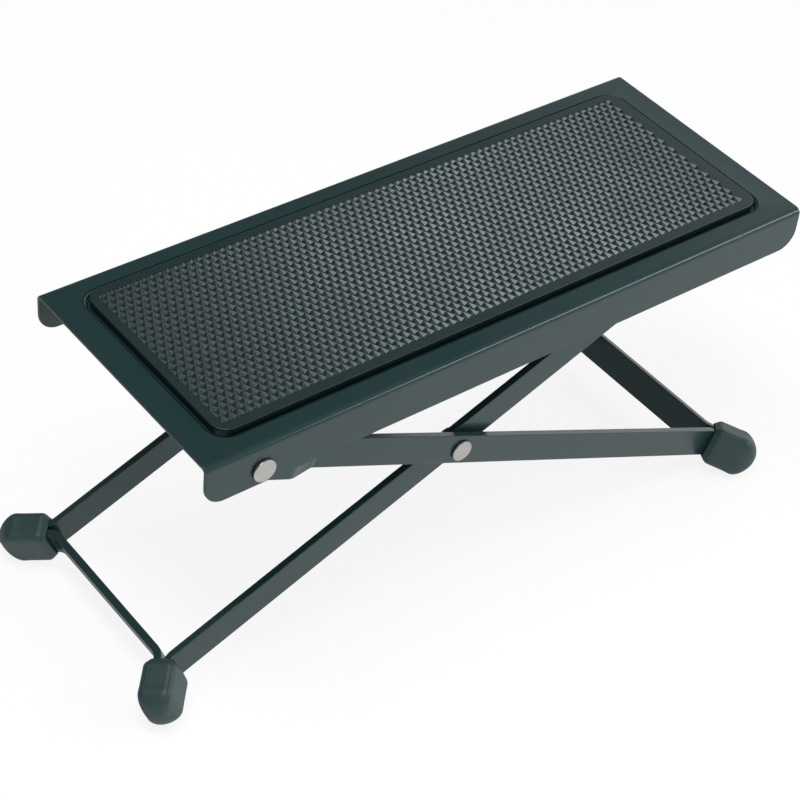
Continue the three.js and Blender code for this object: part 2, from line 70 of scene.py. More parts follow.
MM = 0.001
WELD_STEP = 1e-4  # mm, points that agree to this step are one
PIVOT_X, PIVOT_Z = -116.3, -11.3  # mm, axis of the pivot rivets in the platform's frame
CROSSING = 108.5  # mm from the pivot, and from the latch rod, to the crossing of the legs
HOLE_STEPS = 24  # facets round half a hole
SAME_LENGTH = 1e-6  # mm, marks along a path that lie closer are one
ROUNDING = 1e-9  # mm, more than the sums along a path lose


class Side(Enum):
    """The two copies of a paired piece, with the sign of Y on which each lies."""

    NEAR = -1
    FAR = 1

    @property
    def word(self) -> str:
        """Word that ends the names of this side's nodes."""
        return self.name.lower()


class Slot(Enum):
    """Material slots of the record."""

    ENAMEL = "black_enamel"
    MAT = "mat_rubber"
    CAP = "cap_rubber"
    STEEL = "bare_steel"
    ZINC = "zinc_steel"
    NYLON = "nylon"


# Vectors and placements


def unit(rows: np.ndarray) -> np.ndarray:
    """Rows divided by their lengths."""
    return rows / np.maximum(np.linalg.norm(rows, axis=-1, keepdims=True), 1e-12)


@dataclass(frozen=True)
class Placement:
    """Where a drawing frame lies in the shared frame: its origin in metres and its axes."""

    origin: np.ndarray
    axes: np.ndarray

    def place(self, points: np.ndarray) -> np.ndarray:
        """Point = origin + x, y and z times the frame's axes.

        Args:
            points: rows of x, y and z in millimetres.

        Returns:
            The same points in metres in the shared frame.
        """
        return self.origin + (points * MM) @ self.axes


class Layout:
    """Drawing frames of the platform and of the two leg frames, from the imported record."""

    def __init__(self, record: dict, mat_proud: float) -> None:
        """Works out the three frames.

        Args:
            record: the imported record, with its mount and joints.
            mat_proud: height of the mat above the platform's top face, in millimetres.
        """
        mount = record["mounts"][0]
        joints = {joint["name"]: np.array(joint["pos_m"])
                  for joint in record["behaviour"]["joints"]}
        low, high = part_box("latch_rod")
        rod = (np.array(low) + np.array(high)) / 2
        normal = unit(np.array(mount["axis"], float))
        across = np.array([0.0, 1.0, 0.0])
        self.platform = self._frame(
            np.array(mount["pos_m"]) - normal * mat_proud * MM, np.cross(across, normal), across)
        self.outer = self._frame(joints["fold"], joints["scissor"] - joints["fold"], across)
        self.inner = self._frame(joints["scissor"], joints["scissor"] - rod, across)

    @staticmethod
    def _frame(origin: np.ndarray, along: np.ndarray, across: np.ndarray) -> Placement:
        """Frame with X along a direction, Y across the part and Z square to both."""
        x = unit(along * np.array([1.0, 0.0, 1.0]))
        return Placement(origin, np.stack([x, across, np.cross(x, across)]))


# Meshes


def ring(centre: np.ndarray, radius: float, start: float, end: float, steps: int) -> np.ndarray:
    """Arc: centre + radius times (cos, sin) of evenly spaced angles, both ends included."""
    angle = np.linspace(start, end, steps + 1)
    return np.asarray(centre) + radius * np.stack([np.cos(angle), np.sin(angle)], axis=-1)


def quarter(steps: int) -> np.ndarray:
    """Evenly spaced angles from zero to a right angle."""
    return np.linspace(0, np.pi / 2, steps + 1)


def grid(*coordinates: np.ndarray) -> np.ndarray:
    """Points from arrays of coordinates, each repeated where the others are larger."""
    return np.stack(np.broadcast_arrays(*coordinates), axis=-1)


def at_heights(loops: np.ndarray, heights: np.ndarray) -> np.ndarray:
    """Flat outlines, each lifted to its own height."""
    lifts = np.broadcast_to(heights[:, None, None], (*loops.shape[:2], 1))
    return np.concatenate([loops, lifts], axis=-1)


def rounded_rectangle(length: np.ndarray, width: np.ndarray, radius: np.ndarray,
                      steps: int) -> np.ndarray:
    """Rounded rectangles, counter-clockwise, with the same number of points in each.

    A point is its corner arc's centre plus the radius times the direction of its angle.

    Args:
        length: sizes along the first axis, one for each outline.
        width: sizes along the second axis.
        radius: corner radii.
        steps: facets in each corner.

    Returns:
        Array of outlines x points x 2.
    """
    corner = np.repeat(np.arange(4), steps + 1)
    share = np.tile(np.arange(steps + 1) / steps, 4)
    angle = (corner + share) * np.pi / 2
    side = np.array([[1, 1], [-1, 1], [-1, -1], [1, -1]])[corner]
    radius = np.asarray(radius, float)[..., None, None]
    size = np.stack([np.asarray(length, float), np.asarray(width, float)], axis=-1)
    half = size[..., None, :] / 2
    return side * (half - radius) + radius * np.stack([np.cos(angle), np.sin(angle)], axis=-1)


def band(rows: np.ndarray, closed: bool) -> np.ndarray:
    """Quads between neighbouring rows of points.

    Args:
        rows: array of rows x points x coordinates.
        closed: whether each row's last point joins its first.

    Returns:
        Array of faces x 4 x coordinates. Seen from the side where the points run to the
        right and the rows upwards, the quads run counter-clockwise.
    """
    if closed:
        rows = np.concatenate([rows, rows[:, :1]], axis=1)
    quads = np.stack([rows[:-1, :-1], rows[:-1, 1:], rows[1:, 1:], rows[1:, :-1]], axis=2)
    return quads.reshape(-1, 4, rows.shape[-1])


def weld(parts: list[np.ndarray]) -> tuple[np.ndarray, list[np.ndarray]]:
    """Makes corners that agree to the weld step one point.

    Args:
        parts: arrays of faces x corners x coordinates.

    Returns:
        The points, and for each array the places of its corners among them.
    """
    rows = np.concatenate([part.reshape(-1, part.shape[-1]) for part in parts])
    key = np.round(rows / WELD_STEP).astype(np.int64)
    _, first, index = np.unique(key, axis=0, return_index=True, return_inverse=True)
    breaks = np.cumsum([part.shape[0] * part.shape[1] for part in parts])[:-1]
    chunks = np.split(index.reshape(-1), breaks)
    return rows[first], [ids.reshape(part.shape[:2]) for ids, part in zip(chunks, parts)]


class Skin:
    """Closed surface of one piece, gathered as faces in drawing coordinates."""

    def __init__(self) -> None:
        """Starts with no faces."""
        self.parts: list[tuple[np.ndarray, bool]] = []

    def add(self, faces: np.ndarray, smooth: bool = True) -> None:
        """Adds faces of one kind.

        Args:
            faces: array of faces x corners x 3, or one face's corners x 3.
            smooth: whether their corners share normals with their neighbours.
        """
        self.parts.append((faces if faces.ndim == 3 else faces[None], smooth))

    def move(self, change: np.ndarray, shift: np.ndarray, flip: bool = False) -> "Skin":
        """A copy that is turned and shifted.

        Args:
            change: the new axes, as rows.
            shift: the new origin.
            flip: whether the axes mirror it, so that its faces have to be turned over.

        Returns:
            The copy.
        """
        copy = Skin()
        for faces, smooth in self.parts:
            moved = faces @ change + shift
            copy.add(moved[:, ::-1] if flip else moved, smooth)
        return copy

    def _welded(self) -> tuple[np.ndarray, list[tuple[np.ndarray, bool]]]:
        """Points that agree become one, and faces that have lost a side lose the corner.

        Returns:
            The points, and the faces as places among them, grouped by corners and shading.
        """
        points, places = weld([faces for faces, _ in self.parts])
        groups = []
        for ids, (_, smooth) in zip(places, self.parts):
            same = ids == np.roll(ids, -1, axis=1)
            count, corners = ids.shape
            if corners > 4:
                groups.append((ids[~same].reshape(1, -1) if count == 1 else ids, smooth))
                continue
            lost = same.sum(axis=1)
            groups.append((ids[lost == 0], smooth))
            if corners == 4:
                tri = ids[lost == 1][~same[lost == 1]].reshape(-1, 3)
                groups.append((tri, smooth))
        return points, [(ids, smooth) for ids, smooth in groups if len(ids)]

    def mesh(self, name: str, placement: Placement) -> bpy.types.Mesh:
        """Blender mesh of the welded surface.

        A corner's normal is the sum of the area vectors of the smooth faces round its
        point, so a large flat face stays flat up to the small rounding beside it. The
        corners of a face that isn't smooth take the face's own normal.

        Args:
            name: name of the mesh.
            placement: frame in which the faces were drawn.

        Returns:
            The mesh, in metres in the shared frame.
        """
        points, groups = self._welded()
        total = np.zeros_like(points)
        own = []
        for ids, smooth in groups:
            corner = points[ids]
            local = corner - corner.mean(axis=1, keepdims=True)
            area = np.cross(local, np.roll(local, -1, axis=1)).sum(axis=1) / 2
            own.append(area)
            if smooth:
                np.add.at(total, ids.reshape(-1), np.repeat(area, ids.shape[1], axis=0))
        normals = [
            total[ids].reshape(-1, 3) if smooth else np.repeat(area, ids.shape[1], axis=0)
            for (ids, smooth), area in zip(groups, own)
        ]
        faces = [tuple(row) for ids, _ in groups for row in ids.tolist()]
        mesh = bpy.data.meshes.new(name)
        mesh.from_pydata(placement.place(points), [], faces)
        mesh.polygons.foreach_set("use_smooth", np.ones(len(faces), bool))
        mesh.normals_split_custom_set(unit(np.concatenate(normals) @ placement.axes).tolist())
        mesh.update()
        return mesh


def put(name: str, data: bpy.types.ID) -> bpy.types.Object:
    """New object, linked into the scene.

    Args:
        name: its name.
        data: its mesh, lamp or camera data.

    Returns:
        The object.
    """
    made = bpy.data.objects.new(name, data)
    bpy.context.scene.collection.objects.link(made)
    return made


@dataclass(frozen=True)
class Workshop:
    """Puts finished surfaces into the scene as named pieces."""

    materials: dict[Slot, bpy.types.Material]

    def fit(self, node: str, skin: Skin, placement: Placement, body: str, slot: Slot) -> None:
        """Makes the piece that stands for one CAD node.

        Args:
            node: the CAD node that it replaces.
            skin: its surface.
            placement: frame in which the surface was drawn.
            body: CAD body on which it rides.
            slot: material slot of the record.
        """
        mesh = skin.mesh(node, placement)
        mesh.materials.append(self.materials[slot])
        piece = put(f"{node}_surface", mesh)
        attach(piece, body)
        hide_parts(node)
        log.info("%s: %d faces on %s", node, len(mesh.polygons), body)


class Sheet:
    """Sheet metal: faces whose corners hold a point on the top and one on the bottom."""

    def __init__(self) -> None:
        """Starts with no faces."""
        self.faces: list[np.ndarray] = []

    def add(self, faces: np.ndarray, flip: bool = False) -> None:
        """Adds faces.

        Args:
            faces: array of faces x corners x 6, or one face's corners x 6, counter-clockwise
                seen from the top.
            flip: whether they are clockwise and have to be turned over.
        """
        faces = faces if faces.ndim == 3 else faces[None]
        self.faces.append(faces[:, ::-1] if flip else faces)

    def stand(self, flat: np.ndarray, side: int, outer: float, sheet: float) -> None:
        """Adds an upright face.

        Args:
            flat: its outline in x and z, counter-clockwise seen from the near side.
            side: sign of Y on which it lies.
            outer: distance of its outer face from the middle plane.
            sheet: its thickness.
        """
        top = np.insert(flat, 1, side * outer, axis=1)
        under = top - np.array([0, side * sheet, 0])
        self.add(np.concatenate([top, under], axis=-1), flip=side > 0)

    def solid(self, edge: float, steps: int = 5) -> Skin:
        """Both faces of the sheet, joined by cut edges with rounded corners.

        Along a cut edge the sheet's faces end one edge radius short. From there the surface
        follows a quarter circle, top - r(1 - sin a) outwards - r(1 - cos a) down, and the
        same in mirror image from the bottom. Where sides whose outward directions are p and
        q meet, outwards is the mitre (p + q) / (1 + p.q).

        Args:
            edge: radius of the edge's corners.
            steps: facets in each quarter circle.

        Returns:
            The closed surface.
        """
        rows, groups = weld(self.faces)
        top, bottom = rows[:, :3], rows[:, 3:]
        start = np.concatenate([ids.reshape(-1) for ids in groups])
        end = np.concatenate([np.roll(ids, -1, axis=1).reshape(-1) for ids in groups])
        open_side = ~np.isin(start * len(top) + end, end * len(top) + start)
        start, end = start[open_side], end[open_side]
        normal = unit(top - bottom)
        middle = (top + bottom) / 2
        outwards = unit(np.cross(unit(middle[end] - middle[start]),
                                 unit(normal[start] + normal[end])))
        arriving, leaving = np.zeros_like(top), np.zeros_like(top)
        arriving[end], leaving[start] = outwards, outwards
        mitre = (arriving + leaving) / (
            1 + (arriving * leaving).sum(axis=1, keepdims=True))
        angle = quarter(steps)[:, None, None]
        out, down = edge * (1 - np.sin(angle)), edge * (1 - np.cos(angle))
        upper = top - out * mitre - down * normal
        lower = (bottom - out * mitre + down * normal)[::-1]
        rim = np.concatenate([upper, lower])
        skin = Skin()
        for ids in groups:
            skin.add(rim[0][ids])
            skin.add(rim[-1][ids[:, ::-1]])
        quads = np.stack([rim[:-1, end], rim[:-1, start], rim[1:, start], rim[1:, end]], axis=2)
        skin.add(quads.reshape(-1, 4, 3))
        return skin


class Path:
    """Centreline of straight runs and arcs, read by the length along it."""

    def __init__(self, corners: list[tuple[float, float, float]]) -> None:
        """Rounds the corners of a polyline.

        Args:
            corners: x, y and radius of each corner, with zero at both ends.
        """
        at = np.array([corner[:2] for corner in corners], float)
        radius = np.array([corner[2] for corner in corners], float)
        step = np.diff(at, axis=0)
        heading = np.unwrap(np.arctan2(step[:, 1], step[:, 0]))
        turn = np.concatenate([[0.0], np.diff(heading), [0.0]])
        reach = radius * np.tan(np.abs(turn) / 2)
        run = np.linalg.norm(step, axis=1) - reach[:-1] - reach[1:]
        direction = unit(step)
        lengths, places, headings, bends = [], [], [], []
        for leg in range(len(run)):
            lengths.append(run[leg])
            places.append(at[leg] + direction[leg] * reach[leg])
            headings.append(heading[leg])
            bends.append(0.0)
            if leg + 1 < len(run):
                lengths.append(radius[leg + 1] * abs(turn[leg + 1]))
                places.append(at[leg + 1] - direction[leg] * reach[leg + 1])
                headings.append(heading[leg])
                bends.append(np.sign(turn[leg + 1]) / radius[leg + 1])
        self.lengths = np.maximum(np.array(lengths), 0.0)
        self.places, self.headings = np.array(places), np.array(headings)
        self.bends = np.array(bends)
        self.starts = np.concatenate([[0.0], np.cumsum(self.lengths)[:-1]])
        self.total = float(self.lengths.sum())

    def read(self, length: np.ndarray) -> tuple[np.ndarray, np.ndarray]:
        """Points and headings at lengths along the path.

        On a straight run the point is start + s(cos h, sin h). On an arc of bend k it is
        start + (sin(h + ks) - sin h, cos h - cos(h + ks)) / k, with the heading h + ks.

        Args:
            length: lengths along the path, in an array of any shape.

        Returns:
            The points, with x and y on a last axis of their own, and the headings.
        """
        leg = np.searchsorted(self.starts, length + ROUNDING, side="right") - 1
        leg = np.clip(leg, 0, None)
        s, h, k = length - self.starts[leg], self.headings[leg], self.bends[leg]
        straight = k == 0
        safe = np.where(straight, 1.0, k)
        heading = h + k * s
        x = np.where(straight, s * np.cos(h), (np.sin(heading) - np.sin(h)) / safe)
        y = np.where(straight, s * np.sin(h), (np.cos(h) - np.cos(heading)) / safe)
        return self.places[leg] + np.stack([x, y], axis=-1), heading

    def columns(self, facet: float) -> np.ndarray:
        """Lengths at the ends of every run, and inside the arcs at even steps.

        Args:
            facet: largest angle that one step may turn through.

        Returns:
            The lengths, in order.
        """
        marks = [np.array([0.0])]
        for start, length, bend in zip(self.starts, self.lengths, self.bends):
            count = max(1, math.ceil(abs(bend) * length / facet))
            marks.append(start + length * np.arange(1, count + 1) / count)
        marks = np.concatenate(marks)
        return marks[np.concatenate([[True], np.diff(marks) > SAME_LENGTH])]


# Finishes

SPECK_SCALE = 0.8  # scale of the dust's noise, as a share of the grain's
DUST_LIMIT = 0.72  # level of that noise over which dust shows
DUST_SPREAD = 0.12  # how far Cloud lowers the level
DUST_GAIN = 9.0  # rise of the dust over the level
DUST_ROUGHNESS = 0.2  # roughness that full dust adds
DUST_LIFT, DUST_FLOOR = 1.6, 0.05  # dust's colour = lift times the worn colour + floor
CLOUD_LOW, CLOUD_GAIN = 0.3, 2.5  # spread Cloud's middle range over 0 to 1


class Nodes:
    """Short hand for building a node tree."""

    def __init__(self, tree: bpy.types.NodeTree) -> None:
        """Takes the tree that the nodes go into."""
        self.tree = tree

    @classmethod
    def fresh(cls, owner: bpy.types.Material | bpy.types.World) -> "Nodes":
        """Short hand for the emptied tree of a material or world.

        Args:
            owner: the material or world.

        Returns:
            The short hand for its tree.
        """
        owner.use_nodes = True
        owner.node_tree.nodes.clear()
        return cls(owner.node_tree)

    def add(self, kind: str, values: dict[str | int, object] | None = None,
            **settings: object) -> bpy.types.Node:
        """Adds a node.

        Args:
            kind: the node's type.
            values: input name or number to a value or to the socket that feeds it.
            settings: properties of the node.

        Returns:
            The node.
        """
        node = self.tree.nodes.new(kind)
        for key, value in settings.items():
            setattr(node, key, value)
        for key, value in (values or {}).items():
            socket = node.inputs[key]
            if isinstance(value, bpy.types.NodeSocket):
                self.tree.links.new(value, socket)
            else:
                socket.default_value = value
        return node

    def math(self, operation: str, first: object, second: object = 0.0,
             clamp: bool = False) -> bpy.types.NodeSocket:
        """Adds a Math node.

        Args:
            operation: name of the operation on the two values.
            first: number or socket.
            second: number or socket.
            clamp: whether the result is held between 0 and 1.

        Returns:
            The result's socket.
        """
        node = self.add("ShaderNodeMath", {0: first, 1: second}, operation=operation,
                        use_clamp=clamp)
        return node.outputs[0]

    def mix(self, share: object, first: object, second: object) -> bpy.types.NodeSocket:
        """Colour that goes from the first to the second as the share goes from 0 to 1."""
        node = self.add("ShaderNodeMix", {0: share, 6: first, 7: second}, data_type="RGBA")
        return node.outputs[2]

    def noise(self, vector: object, scale: object, detail: float,
              roughness: float) -> bpy.types.NodeSocket:
        """Adds a noise texture.

        Args:
            vector: socket of the place at which it is read.
            scale: number or socket of its features per unit.
            detail: octaves.
            roughness: strength of each octave, as a share of the one before.

        Returns:
            The socket of its value.
        """
        node = self.add("ShaderNodeTexNoise", {
            "Vector": vector, "Scale": scale, "Detail": detail, "Roughness": roughness})
        return node.outputs[0]

    def ramp(self, value: object, start: float, end: float, first: float,
             last: float) -> bpy.types.NodeSocket:
        """Smooth step of a value.

        Args:
            value: the socket that is read.
            start: value at which the step begins.
            end: value at which it ends.
            first: result up to the start.
            last: result from the end on.

        Returns:
            The result's socket.
        """
        node = self.add("ShaderNodeMapRange", {
            "Value": value, "From Min": start, "From Max": end, "To Min": first,
            "To Max": last}, interpolation_type="SMOOTHSTEP")
        return node.outputs[0]

    def shown(self) -> bpy.types.NodeSocket:
        """Tells the rays that bring the background to the picture: camera and transmission.

        Returns:
            A socket that is 1 for them and 0 for others.
        """
        rays = self.add("ShaderNodeLightPath")
        return self.math("MAXIMUM", rays.outputs["Is Camera Ray"],
                         rays.outputs["Is Transmission Ray"])


def grain_group() -> bpy.types.NodeTree:
    """Shared surface grain, cloudiness and dust.

    Fine is noise of the grain's own size, Cloud is slow noise, and Dust is where a third
    noise, a little coarser than Fine, rises over a limit, which is lower where Cloud is high.

    Returns:
        A node group with inputs Vector, Grain Scale, Cloud Scale and Dust, and outputs
        Fine, Cloud and Dust, each from 0 to 1.
    """
    tree = bpy.data.node_groups.new("surface_grain", "ShaderNodeTree")
    for name, kind in (("Vector", "NodeSocketVector"), ("Grain Scale", "NodeSocketFloat"),
                       ("Cloud Scale", "NodeSocketFloat"), ("Dust", "NodeSocketFloat")):
        tree.interface.new_socket(name, in_out="INPUT", socket_type=kind)
    for name in ("Fine", "Cloud", "Dust"):
        tree.interface.new_socket(name, in_out="OUTPUT", socket_type="NodeSocketFloat")
    nodes = Nodes(tree)
    entry = nodes.add("NodeGroupInput")
    place, grain_scale = entry.outputs["Vector"], entry.outputs["Grain Scale"]
    fine = nodes.noise(place, grain_scale, detail=2.0, roughness=0.55)
    cloud = nodes.noise(place, entry.outputs["Cloud Scale"], detail=3.0, roughness=0.6)
    speck = nodes.noise(place, nodes.math("MULTIPLY", grain_scale, SPECK_SCALE), detail=3.0,
                        roughness=0.75)
    limit = nodes.math("SUBTRACT", DUST_LIMIT, nodes.math("MULTIPLY", cloud, DUST_SPREAD))
    raised = nodes.math("MULTIPLY", nodes.math("SUBTRACT", speck, limit), DUST_GAIN, clamp=True)
    nodes.add("NodeGroupOutput", {
        "Fine": fine, "Cloud": cloud,
        "Dust": nodes.math("MULTIPLY", raised, entry.outputs["Dust"])})
    return tree


@dataclass(frozen=True)
class Finish:
    """A surface finish: base colour, its changes over the surface, gloss and grain.

    Grain and cloud scales are features per metre, and stretch multiplies them along each axis.
    """

    name: str
    color: tuple[float, float, float]
    worn: tuple[float, float, float]
    roughness: float
    roughness_span: float
    grain_scale: float
    grain_height: float
    cloud_scale: float
    dust: float
    metallic: float = 0.0
    ior: float = 1.5
    gloss_tint: tuple[float, float, float] = (1.0, 1.0, 1.0)
    stretch: tuple[float, float, float] = (1.0, 1.0, 1.0)

    def material(self, grain: bpy.types.NodeTree) -> bpy.types.Material:
        """Material whose colour, roughness and bump follow the shared grain.

        Colour goes from base to worn with Cloud and lightens with Dust, roughness swings by
        its span with Cloud and rises with Dust, and the bump follows Fine.

        Args:
            grain: the shared grain group.

        Returns:
            The material.
        """
        made = bpy.data.materials.new(self.name)
        nodes = Nodes.fresh(made)
        place = nodes.add("ShaderNodeTexCoord").outputs["Object"]
        stretched = nodes.add("ShaderNodeMapping", {"Vector": place, "Scale": self.stretch})
        effect = nodes.add("ShaderNodeGroup", {
            "Vector": stretched.outputs[0], "Grain Scale": self.grain_scale,
            "Cloud Scale": self.cloud_scale, "Dust": self.dust}, node_tree=grain)
        above = nodes.math("SUBTRACT", effect.outputs["Cloud"], CLOUD_LOW)
        cloud = nodes.math("MULTIPLY", above, CLOUD_GAIN, clamp=True)
        tone = nodes.mix(cloud, (*self.color, 1.0), (*self.worn, 1.0))
        dusty = tuple(min(1.0, c * DUST_LIFT + DUST_FLOOR) for c in self.worn)
        colour = nodes.mix(effect.outputs["Dust"], tone, (*dusty, 1.0))
        rough = nodes.math("ADD", self.roughness - self.roughness_span / 2,
                           nodes.math("MULTIPLY", cloud, self.roughness_span))
        dulled = nodes.math("MULTIPLY", effect.outputs["Dust"], DUST_ROUGHNESS)
        rough = nodes.math("ADD", rough, dulled, clamp=True)
        bump = nodes.add("ShaderNodeBump", {
            "Height": effect.outputs["Fine"], "Strength": 1.0, "Distance": self.grain_height})
        shader = nodes.add("ShaderNodeBsdfPrincipled", {
            "Base Color": colour, "Roughness": rough, "Metallic": self.metallic,
            "IOR": self.ior, "Specular Tint": (*self.gloss_tint, 1.0),
            "Normal": bump.outputs[0]})
        nodes.add("ShaderNodeOutputMaterial", {"Surface": shader.outputs[0]})
        return made


FINISHES: dict[Slot, Finish] = {
    Slot.ENAMEL: Finish(
        name="dark_teal_enamel", color=(0.0117, 0.0366, 0.0384), worn=(0.0144, 0.0404, 0.0422),
        roughness=0.21, roughness_span=0.05, grain_scale=900, grain_height=2.0e-6,
        cloud_scale=28, dust=0.10, ior=1.55, gloss_tint=(0.92, 1.0, 1.0)),
    Slot.MAT: Finish(
        name="moulded_mat_rubber", color=(0.0110, 0.0270, 0.0280), worn=(0.0145, 0.0305, 0.0315),
        roughness=0.29, roughness_span=0.08, grain_scale=2600, grain_height=8.0e-6,
        cloud_scale=40, dust=0.35, ior=1.55, gloss_tint=(0.90, 1.0, 1.0)),
    Slot.CAP: Finish(
        name="moulded_cap_rubber", color=(0.0228, 0.0545, 0.0559), worn=(0.0283, 0.0607, 0.0620),
        roughness=0.48, roughness_span=0.08, grain_scale=1800, grain_height=9.0e-6,
        cloud_scale=60, dust=0.30, ior=1.5, gloss_tint=(0.94, 1.0, 1.0)),
    Slot.STEEL: Finish(
        name="bright_rivet_steel", color=(0.53, 0.515, 0.49), worn=(0.45, 0.44, 0.42),
        roughness=0.34, roughness_span=0.10, grain_scale=2400, grain_height=5.0e-6,
        cloud_scale=300, dust=0.05, metallic=1.0, stretch=(0.25, 1.0, 1.0)),
    Slot.ZINC: Finish(
        name="zinc_plate", color=(0.50, 0.51, 0.51), worn=(0.40, 0.42, 0.44),
        roughness=0.36, roughness_span=0.14, grain_scale=1500, grain_height=5.0e-6,
        cloud_scale=160, dust=0.10, metallic=1.0, stretch=(1.0, 0.2, 1.0)),
    Slot.NYLON: Finish(
        name="natural_nylon", color=(0.66, 0.64, 0.58), worn=(0.58, 0.55, 0.49),
        roughness=0.48, roughness_span=0.10, grain_scale=1500, grain_height=6.0e-6,
        cloud_scale=200, dust=0.15),
}


# Sub-assemblies


@dataclass(frozen=True)
class Platform:
    """Pressed sheet-steel channel with a recess, and the rubber mat that lies in it.

    The pits' tips and the corners between them lie on a lattice with a step of pit_x and
    pit_y, which starts pit_row above the near side of the field's outline. A pit covers
    pit_share of the way from its tip to those corners.
    """

    length: float = 280
    width: float = 110
    sheet: float = 1.5
    depth: float = 17.8
    corner_radius: float = 8
    bend_inner: float = 1.1
    recess_length: float = 256.8
    recess_width: float = 91.2
    recess_depth: float = 1.5
    recess_radius: float = 7.5
    rim_radius: float = 0.6
    rim_reach: float = 0.8
    rim_soft: float = 0.8
    rim_squash: float = 0.9
    foot_radius: float = 0.3
    bore: float = 3.1
    edge: float = 0.35
    groove: float = 1.3
    mat_bottom: float = -1.2
    mat_proud: float = 1.9
    mat_edge: float = 0.3
    pit_x: float = 1.707
    pit_y: float = 3.28
    pit_depth: float = 1.0
    pit_share: float = 0.93
    field_right: float = 122.3
    field_left: float = -123.4
    field_near: float = -40.1
    field_far: float = 40.6
    pit_row: float = 0.6
    corner_steps: int = 14
    bend_steps: int = 10
    foot_steps: int = 5
    mat_steps: int = 7

    @property
    def bend_radius(self) -> float:
        """Outer radius of the long bends."""
        return self.bend_inner + self.sheet

    def _loop(self, grow: np.ndarray) -> np.ndarray:
        """Recess outlines grown outwards, their corners round one centre.

        Args:
            grow: amount for each outline.

        Returns:
            Array of outlines x points x 2.
        """
        grow = np.asarray(grow, float)
        return rounded_rectangle(self.recess_length + 2 * grow, self.recess_width + 2 * grow,
                                 self.recess_radius + grow, self.corner_steps)

    def _pan(self) -> np.ndarray:
        """Rows of point pairs down the wall of the recess, from its rim to its floor.

        On the top the wall is the rim's quarter ellipse, which reaches further out than it
        goes down, and then a small fillet. The bottom follows it at the sheet's thickness,
        with rounder corners, the upper of them a little squashed.

        Returns:
            Array of rows x points x 6.
        """
        rim, foot = quarter(self.bend_steps), quarter(self.foot_steps)
        r, f, d, t = self.rim_radius, self.foot_radius, self.recess_depth, self.sheet
        soft = self.rim_soft
        top_grow = np.concatenate([self.rim_reach * (1 - np.sin(rim)), -f * (1 - np.cos(foot))])
        top_z = np.concatenate([-r * (1 - np.cos(rim)), f * (1 - np.sin(foot)) - d])
        low_grow = np.concatenate([t + soft * (1 - np.sin(rim)), t - soft * (1 - np.cos(foot))])
        low_z = np.concatenate([-t - soft * self.rim_squash * (1 - np.cos(rim)),
                                soft * (1 - np.sin(foot)) - d - t])
        return np.concatenate([at_heights(self._loop(top_grow), top_z),
                               at_heights(self._loop(low_grow), low_z)], axis=-1)

    def _flange(self) -> list[np.ndarray]:
        """Flange in x and z, counter-clockwise seen from the near side.

        Returns:
            The outlines of its left and right part, which meet above and below the pivot hole.
        """
        half, r = self.length / 2, self.corner_radius
        bend, low = -self.bend_radius, -self.depth
        left_arc = ring((r - half, low + r), r, np.pi, 1.5 * np.pi, self.corner_steps)
        right_arc = ring((half - r, low + r), r, -0.5 * np.pi, 0, self.corner_steps)
        centre = (PIVOT_X, PIVOT_Z)
        left_hole = ring(centre, self.bore, -0.5 * np.pi, -1.5 * np.pi, HOLE_STEPS)
        right_hole = ring(centre, self.bore, 0.5 * np.pi, -0.5 * np.pi, HOLE_STEPS)
        top_mid, low_mid = (PIVOT_X, bend), (PIVOT_X, low)
        return [np.concatenate([[(-half, bend)], left_arc, [low_mid], left_hole, [top_mid]]),
                np.concatenate([[top_mid], right_hole, [low_mid], right_arc, [(half, bend)]])]

    def _bend(self, side: int) -> np.ndarray:
        """Long bend: both radii turned about one centre line.

        Args:
            side: sign of Y on which it lies.

        Returns:
            Its faces, as faces x corners x 6.
        """
        x = np.array([-self.length / 2, PIVOT_X, self.length / 2])
        angle = quarter(self.bend_steps)
        centre_y = self.width / 2 - self.bend_radius
        rows = []
        for radius in (self.bend_radius, self.bend_inner):
            y = centre_y + radius * np.cos(angle)
            z = radius * np.sin(angle) - self.bend_radius
            rows.append(grid(x, side * y[:, None], z[:, None]))
        return band(np.concatenate(rows, axis=-1), closed=False)

    def platform_skin(self) -> Skin:
        """Closed surface of the pressed platform: recess, surround, long bends and flanges.

        Returns:
            The surface.
        """
        sheet = Sheet()
        rows = self._pan()
        sheet.add(band(rows, closed=True), flip=True)
        sheet.add(rows[-1])
        for face in self._surround(rows[0]):
            sheet.add(face)
        for side in Side:
            sheet.add(self._bend(side.value), flip=side is Side.FAR)
            for flat in self._flange():
                sheet.stand(flat, side.value, self.width / 2, self.sheet)
        return sheet.solid(self.edge)

    def _corner_middles(self) -> np.ndarray:
        """Places of the middle point of each corner on an outline, and of the first again."""
        return np.arange(5) * (self.corner_steps + 1) + self.corner_steps // 2

    def _surround(self, loop: np.ndarray) -> list[np.ndarray]:
        """Flat top round the recess, as four faces that meet at the middle of its corners.

        Args:
            loop: the recess's rim, as pairs of points.

        Returns:
            The four faces.
        """
        half_x, half_y = self.length / 2, self.width / 2 - self.bend_radius
        sides = (
            ((half_x, half_y), (PIVOT_X, half_y), (-half_x, half_y)),
            ((-half_x, half_y), (-half_x, -half_y)),
            ((-half_x, -half_y), (PIVOT_X, -half_y), (half_x, -half_y)),
            ((half_x, -half_y), (half_x, half_y)),
        )
        middle = self._corner_middles()
        faces = []
        for side, first, last in zip(sides, middle, middle[1:]):
            outer = np.array([(x, y, 0, x, y, -self.sheet) for x, y in side], float)
            inner = loop[np.arange(last, first - 1, -1) % len(loop)]
            faces.append(np.concatenate([outer, inner]))
        return faces

